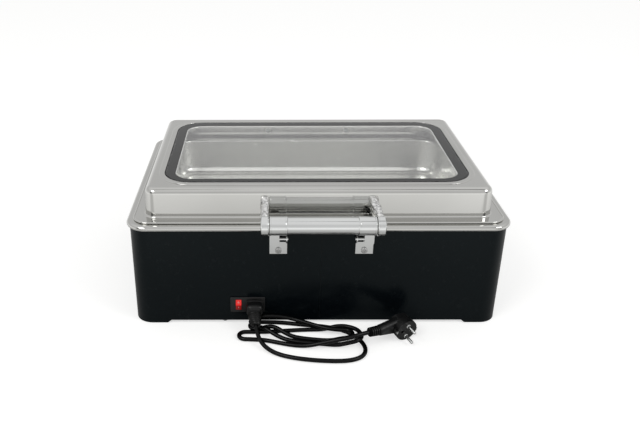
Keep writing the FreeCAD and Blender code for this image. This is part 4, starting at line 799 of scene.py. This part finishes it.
def make_water_pan():
    """Profile from the well's middle up over ledge, rim and bead, and back underneath."""
    bead_z = RIM_Z - BEAD
    well_z = WELL_FLOOR + WELL_ROUND
    ledge_z = LEDGE_Z - PRESS_ROUND
    inner = PRESS_ROUND - PAN_SHEET
    rows = [well(WELL_MIDDLE, WELL_FLOOR)]
    rows += [well(*spot) for spot in arc(-WELL_ROUND, well_z, WELL_ROUND, -90, 0, 8)]
    rows += [well(*spot) for spot in arc(PRESS_ROUND, ledge_z, PRESS_ROUND, 180, 90, 4)]
    rows += [step(*spot) for spot in arc(-PRESS_ROUND, ledge_z, PRESS_ROUND, 90, 0, 4)]
    rows += [step(*spot) for spot in arc(PRESS_ROUND, RIM_Z + PRESS_ROUND, PRESS_ROUND, 180, 270, 4)]
    rows += [rim(*spot) for spot in arc(0.0, bead_z, BEAD, *BEAD_TURN, 24)]
    rows += [step(-PAN_SHEET, RIM_Z - PAN_SHEET)]
    rows += [step(*spot) for spot in arc(-PRESS_ROUND, ledge_z, inner, 0, 90, 3)]
    rows += [well(*spot) for spot in arc(PRESS_ROUND, ledge_z, inner, 90, 180, 3)]
    rows += [well(*spot) for spot in arc(-WELL_ROUND, well_z, WELL_ROUND + PAN_SHEET, 0, -90, 8)]
    rows += [well(WELL_MIDDLE, WELL_FLOOR - PAN_SHEET)]
    mesh_piece("water_tray", pressed(rows, False), "base", "polished_steel", replaces=("water_pan",))


FOOD_TOP = 188.5
FOOD_FLOOR = 124.3
FOOD_ROUND = 13.0
FOOD_EDGE = 2.6
FOOD_HEM = 0.4
FOOD_MIDDLE = -145.0
FOOD_TAPER = math.tan(math.radians(4))
food_mouth = around(254.5, 152.0, 38.0)
food_flange = around(265.0, 162.5, 27.0)


def food_row(out, height):
    """Row on the food pan's tapered wall, moved out by a distance."""
    return food_mouth(out - (FOOD_TOP - height) * FOOD_TAPER, height)


def make_food_pan():
    """Profile from the floor's middle up the wall and over the flange, and back underneath."""
    inner = -PAN_SHEET
    low = FOOD_FLOOR + FOOD_ROUND
    high = FOOD_TOP - FOOD_EDGE
    fold = FOOD_EDGE + inner
    rows = [food_row(FOOD_MIDDLE, FOOD_FLOOR)]
    rows += [food_row(*spot) for spot in arc(inner - FOOD_ROUND, low, FOOD_ROUND, -90, 0, 9)]
    rows += [food_row(*spot) for spot in arc(fold, high, FOOD_EDGE, 180, 90)]
    rows += [food_flange(*spot) for spot in arc(-FOOD_HEM, FOOD_TOP - FOOD_HEM, FOOD_HEM, 90, -90, 6)]
    rows += [food_row(*spot) for spot in arc(fold, high, fold, 90, 180)]
    rows += [food_row(*spot) for spot in arc(inner - FOOD_ROUND, low, FOOD_ROUND + PAN_SHEET, 0, -90, 9)]
    rows += [food_row(FOOD_MIDDLE, FOOD_FLOOR - PAN_SHEET)]
    mesh_piece("food_tray", pressed(rows, False), "base", "satin_steel", replaces=("food_pan",))


# Hinge: bevelled rings on the collars and cast arms with turned caps. A profile's rows are the
# distance from the hinge's middle and the radius.
INNER_RING = (
    (53.6, 13.8),
    (53.6, 14.4),
    (54.2, 15.1),
    (55.6, 15.3),
    (56.4, 15.1),
    (56.9, 14.3),
    (56.9, 13.8),
)
OUTER_RING = ((78.4, 14.7), (78.8, 15.2), (80.6, 15.2), (81.2, 14.4), (81.2, 12.0), (78.4, 12.0))
CAP_PROFILE = (
    (82.3, 5.2),
    (82.3, 14.9),
    (83.2, 15.8),
    (83.9, 15.8),
    (84.1, 15.55),
    (84.4, 15.55),
    (84.6, 15.8),
    (93.3, 15.8),
    (94.4, 14.9),
    (94.8, 13.8),
    (94.5, 13.0),
    (94.5, 0.4),
)


def along_hinge(side, profile):
    """Profile (distance from the hinge's middle, radius) set to one side of it."""
    return [(HINGE_X + side * reach, radius) for reach, radius in profile]


def make_collar_rings():
    """Thin bevelled rings at both ends of each collar, and one round the tube beside it."""
    for name, side in (("left", -1), ("right", 1)):
        rings = [turned(along_hinge(side, profile), True) for profile in (INNER_RING, OUTER_RING)]
        mesh_piece(f"collar_rings_{name}", joined(*rings), "base", "plated_steel")


ARM_REACH = 84.0
ARM_ROOT_Z = 189.25
ARM_TIP_Z = 209.6
ARM_TIP_Y = -173.3
CAP_MIDDLE = 88.55
ARM_HALF_X = 6.25
ARM_ROOT_HALF_Z = 13.0
ARM_TIP_HALF_Z = 8.5
ARM_SWELL = 0.08
ARM_SQUARENESS = 0.62
BIG_LUMP = 0.45
SMALL_LUMP = 0.3


def squared(turn, power):
    """Cosine and sine of an angle, each raised to a power with its sign kept."""
    across, up = np.cos(turn), np.sin(turn)
    return np.sign(across) * np.abs(across) ** power, np.sign(up) * np.abs(up) ** power


def make_arms():
    """Cast arm from the cap to the lid: superellipses with lumps, and the turned cap.

    A section is x = w sgn(cos t)|cos t|^q, z = h sgn(sin t)|sin t|^q. Its middle and h run
    straight from root to tip, and it swells by 1 + ARM_SWELL sin(pi s). The lumps add sines of
    the turn t and of the share s along it.
    """
    share = np.linspace(0, 1, 25)[:, None]
    turn = np.linspace(0, 2 * np.pi, 64, endpoint=False)
    unit_x, unit_z = squared(turn, ARM_SQUARENESS)
    swell = 1 + ARM_SWELL * np.sin(np.pi * share)
    half_x = ARM_HALF_X * swell
    half_z = (ARM_ROOT_HALF_Z + (ARM_TIP_HALF_Z - ARM_ROOT_HALF_Z) * share) * swell
    for name, side in (("left", -1), ("right", 1)):
        lumps = BIG_LUMP * np.sin(3 * turn + 9 * share + side) + SMALL_LUMP * np.sin(7 * turn - 17 * share)
        lumps = lumps * np.sin(np.pi * np.clip(share * 1.1, 0, 1)) ** 0.5
        root_x = HINGE_X + side * CAP_MIDDLE
        x = root_x + (side * ARM_REACH - root_x) * share + unit_x * (half_x + lumps)
        y = np.broadcast_to(HINGE_Y + (ARM_TIP_Y - HINGE_Y) * share, x.shape)
        z = ARM_ROOT_Z + (ARM_TIP_Z - ARM_ROOT_Z) * share + unit_z * (half_z + lumps)
        beam = skin(np.stack((x, y, z), axis=-1), False)
        mesh_piece(f"cast_arm_{name}", beam, "lid", "cast_alloy", replaces=(f"lid_arm_{name}",))
        disc = turned(along_hinge(side, CAP_PROFILE))
        mesh_piece(f"arm_cap_{name}", disc, "lid", "plated_steel")


# Power cord: its route in millimetres, from the connector's relief to the plug's
ROUTE = (
    (-98.5, -239.7, 21.9),
    (-96.8, -249.3, 17.2),
    (-93, -261.1, 11),
    (-83, -275.2, 5.4),
    (-63.9, -290.2, 3.7),
    (-33.7, -300.7, 3.8),
    (6.5, -306.3, 3.6),
    (44.7, -306.3, 3.7),
    (66.8, -295.2, 3.8),
    (73.4, -274.1, 3.7),
    (65.8, -250, 3.8),
    (45.7, -226.8, 3.7),
    (14.5, -214.8, 3.6),
    (-21.7, -210.3, 3.7),
    (-55.8, -203.7, 3.8),
    (-80, -202.4, 3.7),
    (-94, -202.3, 3.6),
    (-102.6, -202.5, 3.6),
    (-108.6, -208.4, 3.6),
    (-108.6, -216.5, 3.7),
    (-102.8, -222.3, 3.8),
    (-91.5, -222, 5.2),
    (-76, -224.2, 11),
    (-64.9, -230, 11.5),
    (-53.8, -237.6, 8),
    (-37.8, -245.2, 3.8),
    (-7.6, -251, 3.6),
    (18.6, -255, 4.2),
    (35.7, -256.9, 10),
    (49.8, -257.4, 12.2),
    (55.8, -247.2, 12.4),
    (50.3, -236.8, 12),
    (37.7, -235.8, 11.4),
    (17.6, -232.8, 11.5),
    (-5.6, -222.8, 11.9),
    (-33.7, -206.7, 12),
    (-59.9, -202.4, 15.5),
    (-84, -202.4, 16.2),
    (-102.5, -202.8, 12.6),
    (-109, -213.3, 12),
    (-103, -223.8, 11.5),
    (-92, -227.6, 11.5),
    (-80, -234.2, 11.4),
    (-67.9, -243.4, 7.4),
    (-49.8, -252.6, 3.8),
    (-21.7, -259.5, 3.6),
    (6.5, -262.5, 3.7),
    (28.6, -267.5, 4.8),
    (45.7, -269.5, 10.5),
    (60.8, -267, 12.8),
    (69.4, -255.9, 13),
    (64.4, -237.3, 12.8),
    (48.8, -227.3, 12.6),
    (31.7, -225.3, 12.2),
    (10.5, -225, 4.6),
    (-15.6, -223.8, 3.7),
    (-49.8, -226.4, 3.6),
    (-84, -230.4, 3.7),
    (-111, -229.9, 3.7),
    (-119.9, -230, 3.7),
    (-125.8, -235.8, 3.6),
    (-125.8, -243.9, 3.6),
    (-119.9, -249.7, 3.7),
    (-110.5, -250, 3.7),
    (-84, -252, 3.6),
    (-59.9, -260.4, 3.7),
    (-37.8, -267, 3.8),
    (-17.6, -270.1, 5.5),
    (2.5, -272.5, 12),
    (26.6, -275.5, 20),
    (48.9, -276.7, 25.8),
    (64.9, -269.7, 27.5),
    (78.3, -263.2, 26.1),
)
CORD_DIAMETER = 0.007


def make_cord():
    """The mains lead: one smooth spline whose control points are the route."""
    data = bpy.data.curves.new("mains_lead", "CURVE")
    data.dimensions = "3D"
    spline = data.splines.new("NURBS")
    spline.points.add(len(ROUTE) - 1)
    for point, place in zip(spline.points, ROUTE):
        point.co = (*(Vector(place) * MM), 1)
    spline.order_u = 3
    spline.use_endpoint_u = True
    spline.resolution_u = 6
    data.bevel_depth = CORD_DIAMETER / 2
    data.bevel_resolution = 4
    data.use_fill_caps = True
    piece = bpy.data.objects.new("mains_lead", data)
    bpy.context.scene.collection.objects.link(piece)
    data.materials.append(MATERIALS["cord_rubber"])
    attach(piece, "base")
    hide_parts("power_cord")
    return piece


# Pieces on the lead: the plug's frame, ribbed rubber reliefs, the moulded head and the pins
PINS_WAY = (0.425, -0.895, -0.135)
PLUG_RELIEF = (44.0, 62.0)
PLUG_DEEP = 14.0


def plug_frame():
    """Origin and axes of the plug: X along the cord's last run, Z nearly along its pins."""
    end = np.array(ROUTE[-1])
    x = np.array(ROUTE[-2]) - end
    x /= np.linalg.norm(x)
    y = np.cross(PINS_WAY, x)
    y /= np.linalg.norm(y)
    turn = np.array((x, y, np.cross(x, y)))
    return end - np.array((PLUG_RELIEF[1], 0, -PLUG_DEEP)) @ turn, turn


HEAD_RELIEF = (
    (-101.0, -215.3, 32.1),
    (-100.8, -224.3, 29.3),
    (-98.9, -231.6, 25.9),
    (-98.6, -236.1, 23.7),
    (-98.5, -239.7, 21.9),
)
HEAD_RELIEF_RADII = (8.6, 8.4, 7.2, 6.4, 5.2)
HEAD_RELIEF_WIDE = 1.25
HEAD_RIBS = {"count": 7, "depth": 0.8, "gap": 0.45}
PLUG_RIBS = {"count": 5, "depth": 2.2, "gap": 0.55}
PLUG_RELIEF_RADII = (8.2, 7.4)
RIB_STEPS = 10


def ribbed(count, depth, gap):
    """Shares along a relief and how far each lies below its ribs: level ribs with rounded gaps."""
    share = np.linspace(0, 1, count * RIB_STEPS + 1)
    phase = share * count % 1
    groove = np.clip((phase - (1 - gap)) / gap, 0, 1)
    return share, depth * np.sin(np.pi * groove) ** 2


def make_reliefs():
    """Rods along a cubic through the head relief's points, and along the plug's own X axis."""
    spots = np.array(HEAD_RELIEF)
    run = np.concatenate(([0], np.cumsum(np.linalg.norm(np.diff(spots, axis=0), axis=1))))
    run /= run[-1]
    share, sunk = ribbed(**HEAD_RIBS)
    line = np.stack([np.polyval(np.polyfit(run, spots[:, axis], 3), share) for axis in range(3)], axis=1)
    line[0] = spots[0]
    line[-1] = spots[-1]
    radii = np.interp(share, run, HEAD_RELIEF_RADII) - sunk
    at_head = mesh_piece(
        "head_relief",
        sleeve(line, radii, HEAD_RELIEF_WIDE),
        "base",
        "black_rubber",
        replaces=("connector_relief",),
    )
    share, sunk = ribbed(**PLUG_RIBS)
    origin, turn = plug_frame()
    along = PLUG_RELIEF[0] + (PLUG_RELIEF[1] - PLUG_RELIEF[0]) * share
    local = np.stack((along, np.zeros_like(along), np.full_like(along, -PLUG_DEEP)), axis=1)
    radii = np.interp(share, (0, 1), PLUG_RELIEF_RADII) - sunk
    at_plug = mesh_piece(
        "plug_ribs",
        sleeve(origin + local @ turn, radii),
        "base",
        "black_rubber",
        replaces=("plug_relief",),
    )
    return [at_head, at_plug]


HEAD_BACK = -201.4
HEAD_MIDDLE = (-101.0, 36.4)
HEAD_HALVES = (14.0, 10.7)
HEAD_DEEP = 21.4
HEAD_ROUND = 8.0
HEAD_SQUARENESS = 0.6
HEAD_DEPTHS = (0.0, 0.4, 4.0, 4.3, 4.6, 5.0, 5.3, 8.0)
HEAD_INSETS = (0.5, 0.1, 0.0, 0.3, 0.7, 0.7, 0.3, 0.3)


def make_cord_head():
    """Moulded head: superellipses back to front, drawn in by a quarter circle at its front."""
    turn = np.radians(np.linspace(0, 90, 9))
    front = HEAD_DEEP - HEAD_ROUND * (1 - np.sin(turn))
    drawn_in = HEAD_ROUND * (1 - np.cos(turn)) + HEAD_INSETS[-1]
    depth = np.concatenate((HEAD_DEPTHS, front))[:, None]
    inset = np.concatenate((HEAD_INSETS, drawn_in))[:, None]
    unit_x, unit_z = squared(np.linspace(0, 2 * np.pi, 64, endpoint=False), HEAD_SQUARENESS)
    across = HEAD_MIDDLE[0] + (HEAD_HALVES[0] - inset) * unit_x
    tall = HEAD_MIDDLE[1] + (HEAD_HALVES[1] - inset) * unit_z
    back = np.broadcast_to(HEAD_BACK - depth, across.shape)
    shape = skin(np.stack((across, back, tall), axis=-1), False)
    return mesh_piece("cord_head", shape, "base", "black_plastic", replaces=("cord_connector",))


PIN_HALF = 9.5
PIN_HEIGHTS = (-1.0, 0.05, 0.1, 0.9, 1.1, 1.15, 17.4, 18.2, 18.8, 19.0)
PIN_RADII = (3.3, 3.3, 3.5, 3.5, 3.2, 2.4, 2.4, 2.2, 1.5, 0.5)


def make_pins():
    """Plated pins with a flanged foot and a round tip, set in the plug's own frame."""
    height = np.array(PIN_HEIGHTS)
    origin, turn = plug_frame()
    rods = []
    for side in (-1, 1):
        local = np.stack((0 * height, 0 * height + side * PIN_HALF, height), axis=1)
        rods.append(sleeve(origin + local @ turn, PIN_RADII))
    return mesh_piece("plug_rods", joined(*rods), "base", "plated_steel", replaces=("plug_pins",))


# Marks on the rocker, in the cap's own frame
ROCKER_AT = np.array((-127.1, -198.8, 36.6))
ROCKER_TILT = math.radians(-8)
ROCKER_SLOPE = 1.3 / 8.0
ROCKER_FACE = -4.35
MARK_RING = 1.1
MARK_RING_Z = 4.2
MARK_RING_WIRE = 0.25
MARK_BAR = (-5.4, -3.0)
MARK_BAR_RADII = (0.1, 0.3, 0.3, 0.3, 0.1)


def make_rocker_marks():
    """Raised ring and bar: (R + r cos v) round a centre, and a rod along a line on the face."""
    turn = np.linspace(0, 2 * np.pi, 24, endpoint=False)[:, None]
    wire_turn = np.linspace(0, 2 * np.pi, 10, endpoint=False)[None]
    radius = MARK_RING + MARK_RING_WIRE * np.cos(wire_turn)
    x = radius * np.cos(turn)
    z = MARK_RING_Z + radius * np.sin(turn)
    y = ROCKER_SLOPE * z + ROCKER_FACE - MARK_RING_WIRE * np.sin(wire_turn)
    along = np.linspace(*MARK_BAR, len(MARK_BAR_RADII))
    bar = np.stack((0 * along, ROCKER_FACE - ROCKER_SLOPE * along, along), axis=1)
    lean = np.array(
        (
            (1, 0, 0),
            (0, math.cos(ROCKER_TILT), math.sin(ROCKER_TILT)),
            (0, -math.sin(ROCKER_TILT), math.cos(ROCKER_TILT)),
        )
    )
    ring = skin(ROCKER_AT + np.stack((x, y, z), axis=-1) @ lean, True)
    rod = sleeve(ROCKER_AT + bar @ lean, MARK_BAR_RADII)
    mesh_piece("rocker_marks", joined(ring, rod), "rocker", "bush_plastic")


# Studio: a pale floor, two soft lamps and a plain room, never brighter than 1 where metal sees it
FLOOR_SIZE = 30.0
FLOOR_DROP = 0.0003
FLOOR_COLOUR = (0.62, 0.62, 0.61, 1)
FLOOR_GLOW = 0.6
# Painted shade on the floor as metal sees it: glow rising from the first to the second amount between these
# distances in metres
FLOOR_PAINTED_GLOW = (0.0, 0.5)
PAINTED_GLOW_FROM = (0.42, 0.98)
LAMPS = (
    ("key", (-1.7, -1.9, 2.4), 1.5, 26),
    ("fill", (2.0, -1.5, 1.9), 1.3, 16),
)
LAMPS_FACE = Vector((0, 0, 0.1))
ROOM_LIGHT = 0.7
ROOM_MIRRORED = 0.78
CEILING_FROM = (0.45, 0.8)
WALLS_TO = (0.1, 0.35)
FLAG_ANGLES = (0.55, 0.72, 0.92, 1.12)
FLAG_SHADE = 0.75


def seen_directly(nodes, links, path):
    """1 for camera rays and rays through glass, and 0 for all others."""
    return math_node(
        nodes, links, "MAXIMUM", path.outputs["Is Camera Ray"], path.outputs["Is Transmission Ray"]
    )


def beside_flags(nodes, links, place):
    """1, but less between two angles from the -Y axis on either side: the flags, as metal sees them."""
    split = nodes.new("ShaderNodeSeparateXYZ")
    links.new(place, split.inputs[0])
    ahead = math_node(nodes, links, "MULTIPLY", split.outputs["Y"], -1.0)
    angle = math_node(nodes, links, "ARCTAN2", split.outputs["X"], ahead)
    angle = math_node(nodes, links, "ABSOLUTE", angle)
    begins, full, fades, ends = FLAG_ANGLES
    inside = spread(nodes, links, angle, 0.0, 1.0, begins, full)
    outside = spread(nodes, links, angle, 1.0, 0.0, fades, ends)
    flag = math_node(nodes, links, "MULTIPLY", inside, outside)
    return math_node(nodes, links, "SUBTRACT", 1.0, math_node(nodes, links, "MULTIPLY", flag, FLAG_SHADE))


def make_studio():
    """White room for camera rays; metal sees it greyer between ceiling and horizon, with two flags."""
    world = bpy.data.worlds.new("studio")
    bpy.context.scene.world = world
    world.use_nodes = True
    nodes, links = world.node_tree.nodes, world.node_tree.links
    path = nodes.new("ShaderNodeLightPath")
    place = nodes.new("ShaderNodeTexCoord")
    split = nodes.new("ShaderNodeSeparateXYZ")
    links.new(place.outputs["Generated"], split.inputs[0])
    ceiling = spread(nodes, links, split.outputs["Z"], ROOM_MIRRORED, 1.0, *CEILING_FROM)
    walls = spread(nodes, links, split.outputs["Z"], 1.0, ROOM_MIRRORED, *WALLS_TO)
    lit = math_node(nodes, links, "MAXIMUM", ceiling, walls)
    lit = math_node(nodes, links, "MULTIPLY", lit, beside_flags(nodes, links, place.outputs["Generated"]))
    shown = nodes["Background"]
    shown.inputs["Color"].default_value = (1, 1, 1, 1)
    room = nodes.new("ShaderNodeBackground")
    mirrored = math_node(nodes, links, "MULTIPLY", lit, path.outputs["Is Glossy Ray"])
    plain = math_node(nodes, links, "SUBTRACT", 1.0, path.outputs["Is Glossy Ray"])
    diffuse = math_node(nodes, links, "MULTIPLY", plain, ROOM_LIGHT)
    links.new(math_node(nodes, links, "ADD", mirrored, diffuse), room.inputs["Strength"])
    mix = nodes.new("ShaderNodeMixShader")
    links.new(seen_directly(nodes, links, path), mix.inputs["Fac"])
    links.new(room.outputs[0], mix.inputs[1])
    links.new(shown.outputs[0], mix.inputs[2])
    links.new(mix.outputs[0], nodes["World Output"].inputs["Surface"])


def make_floor():
    """Pale floor that keeps a soft shadow: plain diffuse, lifted to white where it is seen. As metal sees
    it, a glow rises with distance and drops in the flags' sectors: painted shade near the object and in
    those sectors.
    """
    half = FLOOR_SIZE / 2
    corners = ((-half, -half, 0), (half, -half, 0), (half, half, 0), (-half, half, 0))
    mesh = bpy.data.meshes.new("studio_floor")
    mesh.from_pydata(corners, [], [(0, 1, 2, 3)])
    floor = bpy.data.objects.new("studio_floor", mesh)
    floor.location.z = -FLOOR_DROP
    bpy.context.scene.collection.objects.link(floor)
    material, nodes, links, shader = new_material("studio_floor")
    shader.inputs["Base Color"].default_value = FLOOR_COLOUR
    shader.inputs["Roughness"].default_value = 1.0
    shader.inputs["Specular IOR Level"].default_value = 0.0
    glow = nodes.new("ShaderNodeEmission")
    path = nodes.new("ShaderNodeLightPath")
    place = nodes.new("ShaderNodeTexCoord").outputs["Object"]
    length = nodes.new("ShaderNodeVectorMath")
    length.operation = "LENGTH"
    links.new(place, length.inputs[0])
    # Painted shade as metal sees it: the floor glows more with distance, so it reflects darker near the
    # object, and less in the flags' sectors
    painted_far_glow = spread(nodes, links, length.outputs["Value"], *FLOOR_PAINTED_GLOW, *PAINTED_GLOW_FROM)
    painted_far_glow = math_node(nodes, links, "MULTIPLY", painted_far_glow, beside_flags(nodes, links, place))
    mirrored = math_node(nodes, links, "MULTIPLY", painted_far_glow, path.outputs["Is Glossy Ray"])
    direct = math_node(nodes, links, "MULTIPLY", seen_directly(nodes, links, path), FLOOR_GLOW)
    links.new(math_node(nodes, links, "ADD", mirrored, direct), glow.inputs["Strength"])
    both = nodes.new("ShaderNodeAddShader")
    links.new(shader.outputs[0], both.inputs[0])
    links.new(glow.outputs[0], both.inputs[1])
    links.new(both.outputs[0], nodes["Material Output"].inputs["Surface"])
    mesh.materials.append(material)


def make_lamps():
    """Soft round lamps that face the object."""
    for name, place, size, power in LAMPS:
        data = bpy.data.lights.new(name, "AREA")
        data.shape = "DISK"
        data.size = size
        data.energy = power
        lamp = bpy.data.objects.new(name, data)
        lamp.location = place
        lamp.rotation_euler = (LAMPS_FACE - Vector(place)).to_track_quat("-Z", "Y").to_euler()
        bpy.context.scene.collection.objects.link(lamp)


make_camera()
dress_frame()
mains_lead = make_cord()
lead_pieces = make_reliefs() + [make_cord_head(), make_pins()]
make_lid_shell()
make_pane()
make_water_pan()
make_food_pan()
make_collar_rings()
make_arms()
make_rocker_marks()
make_studio()
make_floor()
make_lamps()
bpy.context.scene.view_settings.view_transform = "Standard"
